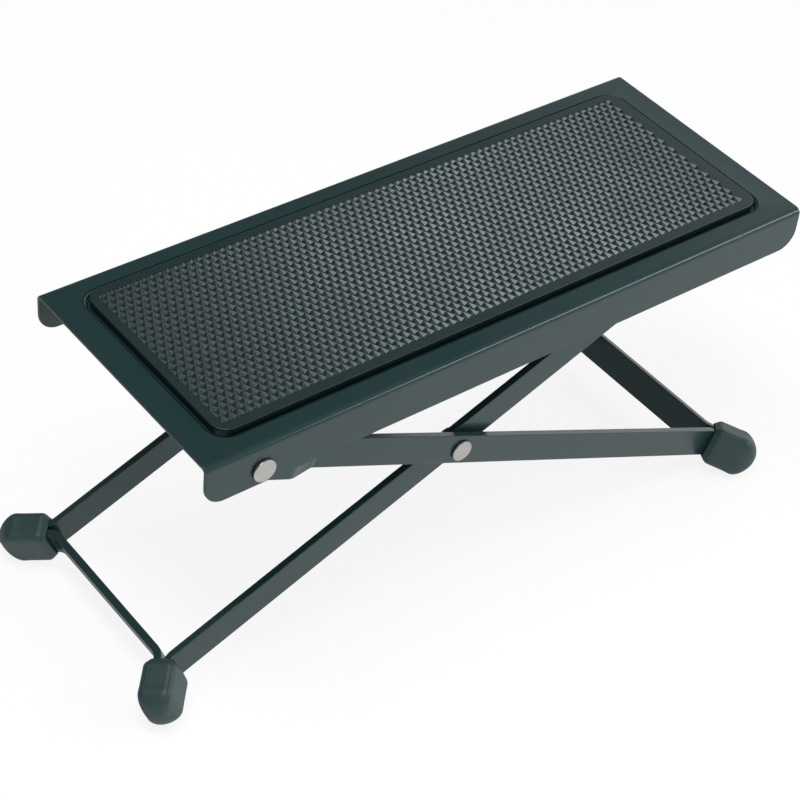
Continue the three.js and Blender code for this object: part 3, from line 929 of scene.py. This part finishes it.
    def _lattice(self) -> np.ndarray:
        """Pitted field as triangles, before it is cut to its outline.

        Nodes (i, j) whose i + j is odd are the tips of four-sided pits and the others lie on
        top, as do the tips on the field's right side. A cell is two triangles, each with one
        tip. A pit covers its share of the way from the tip to the upper nodes, at the same
        share of the depth, and a level ridge covers the rest.

        Returns:
            Array of triangles x 3 x coordinates, counter-clockwise seen from above.
        """
        spare = 2  # steps beyond the outline
        columns = round((self.field_right - self.field_left) / self.pit_x) + spare
        rows = round((self.field_far - self.field_near) / self.pit_y) + 2 * spare
        i, j = np.meshgrid(np.arange(columns + 1), np.arange(rows + 1), indexing="ij")
        x = self.field_right - i * self.pit_x
        y = self.field_near + self.pit_row + (j - spare) * self.pit_y
        node = np.stack([x, y, np.full(x.shape, self.mat_proud)], axis=-1)
        deep = np.where(((i + j) % 2 == 1) & (i > 0), self.pit_depth * self.pit_share, 0.0)
        corner = {"a": (slice(1, None), slice(None, -1)), "b": (slice(None, -1), slice(None, -1)),
                  "c": (slice(None, -1), slice(1, None)), "d": (slice(1, None), slice(1, None))}
        upper = ((i + j) % 2 == 0)[corner["a"]]
        faces = []
        for names, chosen in ((("b", "c", "a"), upper), (("d", "a", "c"), upper),
                              (("a", "b", "d"), ~upper), (("c", "d", "b"), ~upper)):
            tip, first, second = (node[corner[name]][chosen] for name in names)
            rim_first = tip + self.pit_share * (first - tip)
            rim_second = tip + self.pit_share * (second - tip)
            low = tip - deep[corner[names[0]]][chosen][:, None] * np.array([0.0, 0.0, 1.0])
            faces += [np.stack([low, rim_first, rim_second], axis=1),
                      np.stack([rim_first, first, second], axis=1),
                      np.stack([rim_first, second, rim_second], axis=1)]
        return np.concatenate(faces)

    def _cut_field(self) -> tuple[list[np.ndarray], np.ndarray]:
        """The field cut to its outline.

        Returns:
            Its faces, grouped by their number of corners, and its points.
        """
        points, (triangles,) = weld([self._lattice()])
        mesh = bpy.data.meshes.new("field_blank")
        mesh.from_pydata(points, [], triangles.tolist())
        field = bmesh.new()
        field.from_mesh(mesh)
        limits = ((0, self.field_left, -1), (0, self.field_right, 1),
                  (1, self.field_near, -1), (1, self.field_far, 1))
        for axis, value, way in limits:
            outwards = way * np.eye(3)[axis]
            bmesh.ops.bisect_plane(
                field, geom=field.verts[:] + field.edges[:] + field.faces[:], dist=WELD_STEP,
                plane_co=tuple(value * np.eye(3)[axis]), plane_no=tuple(outwards),
                clear_outer=True)
        field.verts.ensure_lookup_table()
        points = np.array([vert.co[:] for vert in field.verts])
        by_size: dict[int, list[list[int]]] = {}
        for face in field.faces:
            ids = [vert.index for vert in face.verts]
            by_size.setdefault(len(ids), []).append(ids)
        field.free()
        bpy.data.meshes.remove(mesh)
        for axis, value, _ in limits:
            points[np.abs(points[:, axis] - value) < 10 * WELD_STEP, axis] = value
        return [points[np.array(ids)] for ids in by_size.values()], points

    def mat_skin(self) -> Skin:
        """Closed surface of the mat: slab with a rounded upper edge and a pitted field.

        Between the slab's upper edge and the cut field runs a level border. Along the field's
        outline upright walls close the pits that are cut.

        Returns:
            The surface.
        """
        skin = Skin()
        length = self.recess_length - 2 * self.groove
        width = self.recess_width - 2 * self.groove
        radius = self.recess_radius - self.groove
        angle = quarter(self.mat_steps)
        inset = np.concatenate([[0.0], self.mat_edge * (1 - np.cos(angle))])
        height = np.concatenate(
            [[self.mat_bottom], self.mat_proud - self.mat_edge * (1 - np.sin(angle))])
        loops = rounded_rectangle(length - 2 * inset, width - 2 * inset, radius - inset,
                                  self.corner_steps)
        rows = at_heights(loops, height)
        skin.add(band(rows, closed=True))
        skin.add(rows[0][::-1])
        groups, points = self._cut_field()
        for faces in groups:
            skin.add(faces, smooth=False)
        top = rows[-1]
        sides = ((1, self.field_far, -1), (0, self.field_left, -1),
                 (1, self.field_near, 1), (0, self.field_right, 1))
        middle = self._corner_middles()
        for (axis, value, way), first, last in zip(sides, middle, middle[1:]):
            line = points[points[:, axis] == value]
            line = line[np.argsort(line[:, 1 - axis] * way)]
            level = line.copy()
            level[:, 2] = self.mat_proud
            outer = top[np.arange(first, last + 1) % len(top)]
            skin.add(np.concatenate([outer, level[::-1]]))
            wall = np.stack([level[:-1], level[1:], line[1:], line[:-1]], axis=1)
            skin.add(wall, smooth=False)
        return skin

    def build(self, shop: Workshop, layout: Layout) -> None:
        """Makes the platform and its mat."""
        shop.fit("platform", self.platform_skin(), layout.platform, "platform", Slot.ENAMEL)
        shop.fit("rubber_mat", self.mat_skin(), layout.platform, "platform", Slot.MAT)


@dataclass(frozen=True)
class Rack:
    """Toothed sheet angle under the platform, in whose notches the latch rod lies."""

    outer: float = 36.5
    sheet: float = 2
    flange: float = 10
    bend_inner: float = 0.5
    top: float = -3.3
    rod_drop: float = 5.1
    rest_distance: float = 198.8609
    rod_gap: float = 3.35
    seat_radius: float = 3.35
    notch_depth: float = 4.4
    ramp: float = 2.3
    pitch: float = 10.6
    notches: int = 5
    margin: float = 7
    edge: float = 0.3
    seat_steps: int = 20
    bend_steps: int = 8

    @property
    def slope(self) -> tuple[float, float]:
        """Cosine and sine of the tilt of the rod's line of travel."""
        tilt = math.asin(self.rod_drop / self.rest_distance)
        return math.cos(tilt), math.sin(tilt)

    def _turned(self, flat: np.ndarray) -> np.ndarray:
        """Points turned by the tilt of the rod's line of travel and moved to the pivot.

        Args:
            flat: rows of distance along the line and height over it.

        Returns:
            Rows of x and z.
        """
        c, s = self.slope
        x = PIVOT_X + flat[:, 0] * c + flat[:, 1] * s
        z = PIVOT_Z - flat[:, 0] * s + flat[:, 1] * c
        return np.stack([x, z], axis=-1)

    def _end(self, x: float, z: np.ndarray) -> np.ndarray:
        """X at heights z on the slanting end that is square to the line of travel."""
        c, s = self.slope
        return PIVOT_X + x * c + (z - PIVOT_Z + x * s) / c * s

    def skin(self, side: int) -> Skin:
        """Closed surface of one rack.

        The notches are half circles along the rod's line of travel, each with a ramp on its
        left. The flange is bent from the web's upper end at two radii about one centre line.

        Args:
            side: sign of Y on which the rack lies.

        Returns:
            The surface.
        """
        first = self.rest_distance - (self.notches - 1) * self.pitch
        left = first - self.pitch / 2 - self.margin
        right = self.rest_distance + self.seat_radius + self.margin
        tip, seat = self.rod_gap, self.rod_gap + self.notch_depth - self.seat_radius
        line = [[(left, tip + self.notch_depth / 2), (left + self.notch_depth / 2, tip)]]
        for centre in first + self.pitch * np.arange(self.notches):
            line.append([(centre - self.seat_radius - self.ramp, tip)])
            line.append(ring((centre, seat), self.seat_radius, np.pi, 0, self.seat_steps))
            line.append([(centre + self.seat_radius, tip)])
        line.append([(right - self.notch_depth / 2, tip), (right, tip + self.notch_depth / 2)])
        teeth = self._turned(np.concatenate([np.asarray(part, float) for part in line]))
        bend_outer = self.bend_inner + self.sheet
        angle = quarter(self.bend_steps)
        centre_y, centre_z = self.outer - bend_outer, self.top - bend_outer
        profile = []
        for radius in (bend_outer, self.bend_inner):
            y = np.append(centre_y + radius * np.cos(angle), self.outer - self.flange)
            z = np.append(centre_z + radius * np.sin(angle), centre_z + radius)
            ends = np.stack([self._end(left, z), self._end(right, z)], axis=-1)
            profile.append(grid(ends, side * y[:, None], z[:, None]))
        rows = np.concatenate(profile, axis=-1)
        web = np.concatenate([teeth, rows[0, ::-1][:, [0, 2]]])
        sheet = Sheet()
        sheet.add(band(rows, closed=False), flip=side > 0)
        sheet.stand(web, side, self.outer, self.sheet)
        return sheet.solid(self.edge)

    def build(self, shop: Workshop, layout: Layout) -> None:
        """Makes both racks.

        Args:
            shop: makes the pieces.
            layout: holds the platform's frame.
        """
        for side in Side:
            shop.fit(f"rack_{side.word}", self.skin(side.value), layout.platform, "platform",
                     Slot.ENAMEL)


def turned(profile: np.ndarray, segments: int = 64) -> Skin:
    """Surface of revolution: each profile point's radius carried round the axis.

    Args:
        profile: rows of radius and height, from the lower end of the axis to the upper, with
            the solid to the left of the way up.
        segments: facets round the axis.

    Returns:
        The surface, with the axis along Z.
    """
    angle = np.arange(segments) * 2 * np.pi / segments
    radius, height = profile[:, :1], profile[:, 1:]
    skin = Skin()
    skin.add(band(grid(radius * np.cos(angle), radius * np.sin(angle), height), closed=True))
    return skin


def softened(profile: list[tuple[float, float, float]], steps: int = 5) -> np.ndarray:
    """Profile whose corners are rounded, each to the radius given with it.

    The arc's centre lies on the corner's bisector at radius / sin(half the opening), and
    its points are read from the centre at evenly spaced angles.

    Args:
        profile: radius and height of each corner, and the radius that rounds it.
        steps: facets in each rounding.

    Returns:
        Rows of radius and height.
    """
    out = []
    at = np.array([corner[:2] for corner in profile], float)
    for place, (_, _, radius) in enumerate(profile):
        if radius == 0:
            out.append(at[place][None])
            continue
        before = unit(at[place - 1] - at[place])
        after = unit(at[place + 1] - at[place])
        opening = math.acos(float(np.clip(before @ after, -1, 1)))
        centre = at[place] + unit(before + after) * radius / math.sin(opening / 2)
        start = at[place] + before * radius / math.tan(opening / 2) - centre
        turn = -np.sign(before[0] * after[1] - before[1] * after[0]) * (math.pi - opening)
        angle = math.atan2(start[1], start[0]) + turn * np.arange(steps + 1) / steps
        out.append(centre + radius * np.stack([np.cos(angle), np.sin(angle)], axis=-1))
    return np.concatenate(out)


def across(skin: Skin, side: int, at_x: float, at_z: float) -> Skin:
    """A turned piece laid across the part.

    Args:
        skin: the piece, with its axis along Z.
        side: sign of Y towards which the axis points.
        at_x: place of the axis along X.
        at_z: its place along Z.

    Returns:
        The piece in its place.
    """
    axes = np.array([[0.0, 0.0, 1.0], [1.0, 0.0, 0.0], [0.0, 1.0, 0.0]])
    shift = np.array([at_x, 0.0, at_z])
    if side > 0:
        return skin.move(axes, shift)
    return skin.move(axes * np.array([1.0, -1.0, 1.0]), shift, flip=True)


@dataclass(frozen=True)
class Rivet:
    """Flat-headed rivet with a formed tail. Faces are measured from the middle plane."""

    head_radius: float
    head_height: float
    head_face: float
    tail_face: float
    shank_radius: float = 2.8
    tail_radius: float = 4.1
    tail_height: float = 1.1
    head_edge: float = 0.32
    tail_edge: float = 0.55
    seat_edge: float = 0.15
    fillet: float = 0.05
    rest_gap: float = 0.3

    def skin(self) -> Skin:
        """Head outwards, shank, and a rounded tail inwards, drawn up the axis.

        Returns:
            The surface, with the axis along Z.
        """
        head = self.head_face + self.rest_gap
        tail = self.tail_face - self.rest_gap
        return turned(softened([
            (0, tail - self.tail_height, 0),
            (self.tail_radius, tail - self.tail_height, self.tail_edge),
            (self.tail_radius, tail, self.seat_edge),
            (self.shank_radius, tail, self.fillet),
            (self.shank_radius, head, self.fillet),
            (self.head_radius, head, self.seat_edge),
            (self.head_radius, head + self.head_height, self.head_edge),
            (0, head + self.head_height, 0),
        ]))


@dataclass(frozen=True)
class Washer:
    """Flat nylon washer, with its outer face measured from the middle plane."""

    thickness: float
    outer_face: float
    radius: float = 4.9
    bore: float = 3.1
    edge: float = 0.12

    def skin(self) -> Skin:
        """Ring of rectangular section with its four corners rounded.

        Returns:
            The surface, with the axis along Z.
        """
        near, far, e = self.outer_face - self.thickness, self.outer_face, self.edge
        middle = (self.bore + self.radius) / 2
        return turned(softened([
            (middle, near, 0), (self.radius, near, e), (self.radius, far, e),
            (self.bore, far, e), (self.bore, near, e), (middle, near, 0)], steps=3))


@dataclass(frozen=True)
class Fasteners:
    """Rivets, washers, spacers and the latch rod."""

    pivot_rivet: Rivet = Rivet(head_radius=4.65, head_height=1.05, head_face=55.0, tail_face=49.1)
    pivot_washer: Washer = Washer(thickness=0.8, outer_face=49.9)
    crossing_rivet: Rivet = Rivet(
        head_radius=4.4, head_height=0.95, head_face=46.8, tail_face=38.7)
    crossing_spacer: Washer = Washer(thickness=0.6, outer_face=43.5)
    crossing_washer: Washer = Washer(thickness=0.6, outer_face=39.3)
    rod_radius: float = 3
    rod_shoulder: float = 39.3
    neck_radius: float = 2.3
    neck_end: float = 42.9
    button_radius: float = 3.3
    button_height: float = 0.5
    rod_edge: float = 0.3
    button_edge: float = 0.1
    fillet: float = 0.05

    def _rod(self) -> Skin:
        """Rod with a neck and a peened button at each end, as one turned profile.

        Returns:
            The surface, with the axis along Z.
        """
        half = [
            (self.rod_radius, self.rod_shoulder, self.rod_edge),
            (self.neck_radius, self.rod_shoulder, self.fillet),
            (self.neck_radius, self.neck_end, self.fillet),
            (self.button_radius, self.neck_end, self.button_edge),
            (self.button_radius, self.neck_end + self.button_height, self.rod_edge),
            (0, self.neck_end + self.button_height, 0)]
        lower = [(x, -y, radius) for x, y, radius in reversed(half)]
        return turned(softened(lower + half))

    def build(self, shop: Workshop, layout: Layout) -> None:
        """Makes every fastener on both sides, and the rod.

        Args:
            shop: makes the pieces.
            layout: holds the frames in which they lie.
        """
        groups = (
            (layout.platform, "platform", PIVOT_X, PIVOT_Z, (
                ("pivot_rivet", self.pivot_rivet, Slot.STEEL),
                ("pivot_washer", self.pivot_washer, Slot.NYLON))),
            (layout.outer, "outer_frame", CROSSING, 0.0, (
                ("crossing_rivet", self.crossing_rivet, Slot.STEEL),
                ("crossing_spacer", self.crossing_spacer, Slot.NYLON),
                ("crossing_washer", self.crossing_washer, Slot.NYLON))),
        )
        for side in Side:
            for placement, body, at_x, at_z, pieces in groups:
                for name, piece, slot in pieces:
                    skin = across(piece.skin(), side.value, at_x, at_z)
                    shop.fit(f"{name}_{side.word}", skin, placement, body, slot)
        shop.fit("latch_rod", across(self._rod(), Side.FAR.value, -CROSSING, 0.0),
                 layout.inner, "inner_frame", Slot.ZINC)


@dataclass(frozen=True)
class LegFrame:
    """One flat strip bent into a U: bars, hairpin ears at the corners, and a web."""

    node: str
    body: str
    eye_x: float
    eye_y: float
    eye_bore: float
    bar_y: float
    cross_x: float
    web_x: float
    joggled: bool
    cross_bore: float = 3.1
    width: float = 12.5
    thickness: float = 3
    bar_bend: float = 6
    joggle_bend: float = 7
    ear: float = 17
    ear_gap: float = 1
    ear_shift: float = 1.2
    joggle_start: float = 18
    joggle_length: float = 14.5
    edge: float = 0.32
    facet: float = math.radians(6)
    nose_steps: int = 16

    def path(self) -> Path:
        """Centreline from the far bar's end round both ears and the web to the near one's.

        An ear runs out along the bisector of the frame's corner, turns round half the
        spacing of its two legs, and runs back.

        Returns:
            The centreline.
        """
        spacing = self.thickness + self.ear_gap
        root = math.sqrt(0.5)
        out, side = np.array([root, root]), np.array([-root, root])
        corner = np.array([self.web_x, self.bar_y])
        tip = corner + out * self.ear - side * self.ear_shift
        bar_back = (spacing / 2 - self.ear_shift) * math.sqrt(2)
        web_back = (spacing / 2 + self.ear_shift) * math.sqrt(2)
        half = [(self.eye_x - self.width / 2, self.eye_y, 0.0)]
        if self.joggled:
            half.append((self.joggle_start, self.eye_y, self.joggle_bend))
            half.append((self.joggle_start + self.joggle_length, self.bar_y, self.joggle_bend))
        half.append((self.web_x - bar_back, self.bar_y, self.bar_bend))
        half.append((*(tip + side * spacing / 2), spacing / 2))
        half.append((*(tip - side * spacing / 2), spacing / 2))
        half.append((self.web_x, self.bar_y - web_back, self.bar_bend))
        return Path(half + [(x, -y, radius) for x, y, radius in reversed(half)])

    def _block(self, centre: float, bore: float, outline: np.ndarray) -> list[np.ndarray]:
        """Two faces of the flat strip round a hole, each half round it.

        Args:
            centre: length along the strip at the hole's centre.
            bore: radius of the hole.
            outline: half outline from right to left, with its width upwards.

        Returns:
            The upper and the lower face, as lengths and widths.
        """
        hole = ring((centre, 0), bore, np.pi, 0, HOLE_STEPS)
        upper = np.concatenate([outline, hole])
        return [upper, (upper * np.array([1.0, -1.0]))[::-1]]

    def skin(self) -> Skin:
        """Closed surface of the bent strip.

        The blank is drawn flat, as length along the strip and place across it: an eye at each
        end, a block with a hole at each crossing, and plain spans that are cut at every facet
        of the path. Then it is laid along the path and given its thickness.

        Returns:
            The surface.
        """
        path = self.path()
        half, total = self.width / 2, path.total
        eye_end = 2 * half
        cross = self._crossing(path)
        spans = [(eye_end, cross - half), (cross + half, total - cross - half),
                 (total - cross + half, total - eye_end)]
        marks = path.columns(self.facet)
        blank = []
        for low, high in spans:
            inner = marks[(marks > low + SAME_LENGTH) & (marks < high - SAME_LENGTH)]
            s = np.concatenate([[low], inner, [high]])
            blank.append(band(grid(s, np.array([[-half], [0.0], [half]])), closed=False))
        nose = ring((half, 0), half, np.pi / 2, np.pi, self.nose_steps)
        eye = np.concatenate([[(eye_end, 0), (eye_end, half)], nose])
        halves = self._block(half, self.eye_bore, eye)
        blank += halves
        blank += [np.array([total, 0]) + face[::-1] * np.array([-1.0, 1.0]) for face in halves]
        for centre in (cross, total - cross):
            square = np.array([(centre + half, 0), (centre + half, half),
                               (centre - half, half), (centre - half, 0)])
            blank += self._block(centre, self.cross_bore, square)
        sheet = Sheet()
        for faces in blank:
            sheet.add(self._laid(path, faces))
        return sheet.solid(self.edge)

    def _crossing(self, path: Path) -> float:
        """Length along the path at the first bar's crossing hole, past the joggle's bends."""
        bar = 4 if self.joggled else 0
        return path.starts[bar] + self.cross_x - path.places[bar][0]

    def _laid(self, path: Path, flat: np.ndarray) -> np.ndarray:
        """Point = place on the path, half the thickness to its right and to its left.

        Args:
            path: centreline of the strip.
            flat: rows of length along the strip and place across it.

        Returns:
            Pairs of points.
        """
        at, heading = path.read(flat[..., 0])
        right = np.stack([np.sin(heading), -np.cos(heading)], axis=-1) * self.thickness / 2
        height = flat[..., 1:]
        return np.concatenate([at + right, height, at - right, height], axis=-1)

    def build(self, shop: Workshop, placement: Placement) -> None:
        """Makes the frame and the caps on its ears.

        Args:
            shop: makes the pieces.
            placement: frame in which they were drawn.
        """
        shop.fit(self.node, self.skin(), placement, self.body, Slot.ENAMEL)
        cap = FootCap()
        for side in Side:
            name = self.node.replace("leg_frame", f"foot_cap_{side.word}")
            skin = cap.skin(self.web_x, self.bar_y, self.ear_shift, side.value)
            shop.fit(name, skin, placement, self.body, Slot.CAP)


@dataclass(frozen=True)
class FootCap:
    """Rubber boot pushed over an ear, drawn along the ear with its mouth at zero."""

    width: float = 17.9
    thickness: float = 13.2
    length: float = 22.2
    corner: float = 2.8
    lip: float = 0.3
    mouth_inset: float = 1.5
    mouth_corner: float = 2.2
    bevel: float = 2.6
    bevel_round: float = 0.9
    ledge_start: float = 10.5
    ledge_end: float = 15.0
    ledge_drop: float = 0.22
    dome: float = 8.6
    pocket_width: float = 12.9
    pocket_thickness: float = 7.4
    pocket_depth: float = 18.8
    pocket_corner: float = 0.6
    pocket_flare: tuple[tuple[float, float], ...] = ((0.25, 0.0), (0.07, 0.08), (0.0, 0.3))
    corner_steps: int = 12
    dome_steps: int = 17
    sleeve_steps: int = 14
    bevel_steps: int = 6
    lip_steps: int = 4
    bevel_thinning: float = 0.4

    def _rows(self) -> np.ndarray:
        """Outlines from the tip over the dome, sleeve and mouth into the pocket.

        On the dome an outline is the full one times the cosine of its angle, at the dome's
        length times the sine. Between dome and bevel the faces above and below the ear sink
        by the ledge, a smooth step 3t^2 - 2t^3, and the bevel runs in to the mouth with both
        its ends rounded, the outer one by a parabola and the inner one by a quarter circle.
        The pocket flares out to the mouth by the amounts given with their depths.

        Returns:
            Array of outlines x points x 3, the last outline being the pocket's end.
        """
        cos, sin = np.cos(quarter(self.dome_steps)), np.sin(quarter(self.dome_steps))
        round_corner = np.minimum((1 - cos**2) * self.thickness / 2 * cos + cos**2 * self.corner,
                                  self.thickness / 2 * cos)
        dome = np.stack([self.width * cos, self.thickness * cos, round_corner,
                         self.length - self.dome * (1 - sin)], axis=-1)
        soft = self.bevel_round
        height = np.linspace(self.bevel + soft, self.length - self.dome, self.sleeve_steps + 1)
        share = np.clip((height - self.ledge_start) / (self.ledge_end - self.ledge_start), 0, 1)
        drop = self.ledge_drop * (1 - share**2 * (3 - 2 * share))
        sleeve = np.stack([self.width - 2 * drop, np.full_like(drop, self.thickness),
                           np.full_like(drop, self.corner), height], axis=-1)
        slope = self.mouth_inset / self.bevel
        turn = np.arange(self.bevel_steps) / self.bevel_steps
        bow = slope * soft * (1 - turn) ** 2
        rim = np.stack([self.width - 2 * self.ledge_drop - 2 * bow, self.thickness - 2 * bow,
                        self.corner - self.bevel_thinning * bow,
                        self.bevel + soft * (2 * turn - 1)], axis=-1)
        angle = quarter(self.lip_steps)
        grow = self.lip * (np.sin(angle) - 1)
        mouth = np.stack([self.width - 2 * self.ledge_drop - 2 * self.mouth_inset + 2 * grow,
                          self.thickness - 2 * self.mouth_inset + 2 * grow,
                          np.full_like(grow, self.mouth_corner),
                          self.lip * (1 - np.cos(angle))], axis=-1)
        pocket = np.array([
            (self.pocket_width + 2 * wide, self.pocket_thickness + 2 * wide,
             self.pocket_corner + wide, height)
            for wide, height in (*self.pocket_flare, (0.0, self.pocket_depth))])
        table = np.concatenate([dome[::-1], sleeve[-2::-1], rim[::-1], mouth[::-1], pocket])
        width, thickness, corner, height = table.T
        return at_heights(rounded_rectangle(width, thickness, corner, self.corner_steps), height)

    def skin(self, web_x: float, bar_y: float, shift: float, side: int) -> Skin:
        """Closed surface of one cap, set on the ear of a frame.

        Args:
            web_x: place along X of the frame's corner.
            bar_y: distance of the corner from the middle plane.
            shift: distance of the ear's middle from the corner's bisector.
            side: sign of Y on which the cap lies.

        Returns:
            The surface.
        """
        rows = self._rows()
        local = Skin()
        local.add(band(rows, closed=True)[:, ::-1])
        local.add(rows[-1])
        root = math.sqrt(0.5)
        thick = np.array([-root, side * root, 0.0])
        along = np.array([root, side * root, 0.0])
        wide = np.cross(thick, along)
        mouth = np.array([web_x, side * bar_y, 0.0]) - shift * thick
        return local.move(np.stack([wide, thick, along]), mouth)


# Studio


@dataclass(frozen=True)
class Lamp:
    """Soft box: a rectangular area lamp that shines at a point.

    It hangs at its distance from that point in the direction that towards gives.
    """

    name: str
    towards: tuple[float, float, float]
    distance: float
    size: tuple[float, float]
    strength: float

    def hang(self, target: Vector) -> None:
        """Hangs the lamp.

        Args:
            target: point that it faces.
        """
        data = bpy.data.lights.new(self.name, "AREA")
        data.shape = "RECTANGLE"
        data.size, data.size_y = self.size
        data.energy = self.strength
        lamp = put(self.name, data)
        direction = Vector(self.towards).normalized()
        lamp.location = target + direction * self.distance
        lamp.rotation_euler = direction.to_track_quat("Z", "Y").to_euler()
        lamp.visible_camera = False
        log.info("lamp %s", self.name)


@dataclass(frozen=True)
class Studio:
    """White surround, pale floor, soft lamps and the camera.

    The camera's place and its angles in degrees are in the platform's drawing frame. The
    surround's steps along Z, Y and X are stated as components of a ray's direction, and the
    floor's fade as distances from its middle.
    """

    camera_at: tuple[float, float, float] = (-453.1014, -507.4149, 519.2258)
    azimuth: float = 41.127
    elevation: float = 41.2313
    roll: float = 6.0008
    lens: float = 101.9733
    sensor: float = 36
    clip: tuple[float, float] = (0.05, 20)
    floor_size: float = 4.0
    floor_share: float = 0.20
    floor_glow: float = 0.05
    floor_white: float = 0.94
    bounce_share: float = 0.42
    fade: tuple[float, float] = (0.30, 0.95)
    sky: float = 0.34
    behind: float = 0.35
    horizon_z: tuple[float, float] = (0.10, -0.12)
    ground_y: tuple[float, float] = (0.30, -0.10)
    beside_x: tuple[float, float] = (0.42, 0.78)
    target: tuple[float, float, float] = (0.0, 0.0, 0.07)
    lamps: tuple[Lamp, ...] = (
        Lamp(name="overhead_box", towards=(-0.32, -0.07, 0.94), distance=1.1, size=(0.80, 0.34),
             strength=6.5),
        Lamp(name="front_strip", towards=(0.64, -0.60, 0.48), distance=1.2, size=(0.85, 0.18),
             strength=3.1),
    )

    def camera(self, placement: Placement) -> None:
        """Sets the camera where the photograph was taken from.

        It looks along (sin az cos el, cos az cos el, -sin el), and right and up are turned
        about that direction by the roll.

        Args:
            placement: the platform's drawing frame.
        """
        az, el, roll = (math.radians(v) for v in (self.azimuth, self.elevation, self.roll))
        ahead = np.array([math.sin(az) * math.cos(el), math.cos(az) * math.cos(el),
                          -math.sin(el)])
        right = unit(np.cross(ahead, [0.0, 0.0, 1.0]))
        up = np.cross(right, ahead)
        right, up = (math.cos(roll) * right + math.sin(roll) * up,
                     math.cos(roll) * up - math.sin(roll) * right)
        data = bpy.data.cameras.new("camera")
        data.lens, data.sensor_width = self.lens, self.sensor
        data.clip_start, data.clip_end = self.clip
        camera = put("camera", data)
        turn = Matrix((np.stack([right, up, -ahead]) @ placement.axes).T.tolist()).to_4x4()
        spot = placement.place(np.array(self.camera_at))
        camera.matrix_world = Matrix.Translation(Vector(spot)) @ turn
        bpy.context.scene.camera = camera
        log.info("camera at %s", np.round(spot, 4))

    def world(self) -> None:
        """White surround, with a dark sky for light and gloss.

        Camera and transmission rays see strength 1 everywhere. For other rays, gloss among
        them, strength = the larger of low x front and beside. Low is 1 below the horizon
        and the sky's level above it, front is 1 on the camera's side and the level behind
        the object on the other, and beside is 1 towards +X and 0 elsewhere.
        """
        world = bpy.data.worlds.new("surround")
        nodes = Nodes.fresh(world)
        spot = nodes.add("ShaderNodeSeparateXYZ", {
            0: nodes.add("ShaderNodeTexCoord").outputs["Generated"]})
        low = nodes.ramp(spot.outputs[2], *self.horizon_z, self.sky, 1.0)
        beside = nodes.ramp(spot.outputs[0], *self.beside_x, 0.0, 1.0)
        front = nodes.ramp(spot.outputs[1], *self.ground_y, self.behind, 1.0)
        level = nodes.math("MAXIMUM", nodes.math("MULTIPLY", low, front), beside)
        back = nodes.add("ShaderNodeBackground", {
            "Color": (1, 1, 1, 1), "Strength": nodes.math("MAXIMUM", level, nodes.shown())})
        nodes.add("ShaderNodeOutputWorld", {"Surface": back.outputs[0]})
        bpy.context.scene.world = world

    def floor(self) -> None:
        """Pale floor, which is clear from below.

        Camera rays meet a small share of it and see the white surround through the rest,
        with a slight glow, which leaves white with the object's soft shadow. Share and glow
        fade out round the object. Light and gloss meet a larger share. From above, share =
        bounce share + shown x (floor share x fade - bounce share), and from below it is 0.
        """
        half = self.floor_size / 2
        mesh = bpy.data.meshes.new("floor")
        mesh.from_pydata([(-half, -half, 0), (half, -half, 0), (half, half, 0), (-half, half, 0)],
                         [], [(0, 1, 2, 3)])
        made = bpy.data.materials.new("pale_floor")
        nodes = Nodes.fresh(made)
        shown = nodes.shown()
        below = nodes.add("ShaderNodeNewGeometry").outputs["Backfacing"]
        above = nodes.math("SUBTRACT", 1.0, below)
        far = nodes.add("ShaderNodeVectorMath", {
            0: nodes.add("ShaderNodeTexCoord").outputs["Object"]}, operation="LENGTH")
        fade = nodes.ramp(far.outputs["Value"], *self.fade, 1.0, 0.0)
        seen = nodes.math("MULTIPLY", fade, self.floor_share)
        change = nodes.math("MULTIPLY", shown, nodes.math("SUBTRACT", seen, self.bounce_share))
        share = nodes.math("ADD", change, self.bounce_share)
        diffuse = nodes.add("ShaderNodeBsdfDiffuse", {"Color": (*[self.floor_white] * 3, 1.0)})
        clear = nodes.add("ShaderNodeBsdfTransparent")
        mixed = nodes.add("ShaderNodeMixShader", {
            0: nodes.math("MULTIPLY", share, above), 1: clear.outputs[0],
            2: diffuse.outputs[0]})
        lit = nodes.math("MULTIPLY", shown, self.floor_glow)
        glow = nodes.add("ShaderNodeEmission", {
            "Strength": nodes.math("MULTIPLY", lit, nodes.math("MULTIPLY", fade, above))})
        both = nodes.add("ShaderNodeAddShader", {0: mixed.outputs[0], 1: glow.outputs[0]})
        nodes.add("ShaderNodeOutputMaterial", {"Surface": both.outputs[0]})
        mesh.materials.append(made)
        put("floor", mesh)

    def set_up(self, layout: Layout) -> None:
        """Builds the studio round the object.

        Args:
            layout: holds the platform's frame.
        """
        self.camera(layout.platform)
        self.world()
        self.floor()
        for lamp in self.lamps:
            lamp.hang(Vector(self.target))
        bpy.context.scene.view_settings.view_transform = "Standard"


def main() -> None:
    """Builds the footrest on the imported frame, with its studio."""
    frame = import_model()
    platform = Platform()
    layout = Layout(frame["record"], platform.mat_proud)
    Studio().set_up(layout)
    grain = grain_group()
    shop = Workshop({slot: finish.material(grain) for slot, finish in FINISHES.items()})
    platform.build(shop, layout)
    Rack().build(shop, layout)
    LegFrame(node="outer_leg_frame", body="outer_frame", eye_x=0, eye_y=51.7, eye_bore=3.1,
             bar_y=45.3, cross_x=CROSSING, web_x=269.3, joggled=True).build(shop, layout.outer)
    LegFrame(node="inner_leg_frame", body="inner_frame", eye_x=-CROSSING, eye_y=41.1,
             eye_bore=2.6, bar_y=41.1, cross_x=0, web_x=135.6,
             joggled=False).build(shop, layout.inner)
    Fasteners().build(shop, layout)
    log.info("sizes written")


if __name__ == "__main__":
    main()
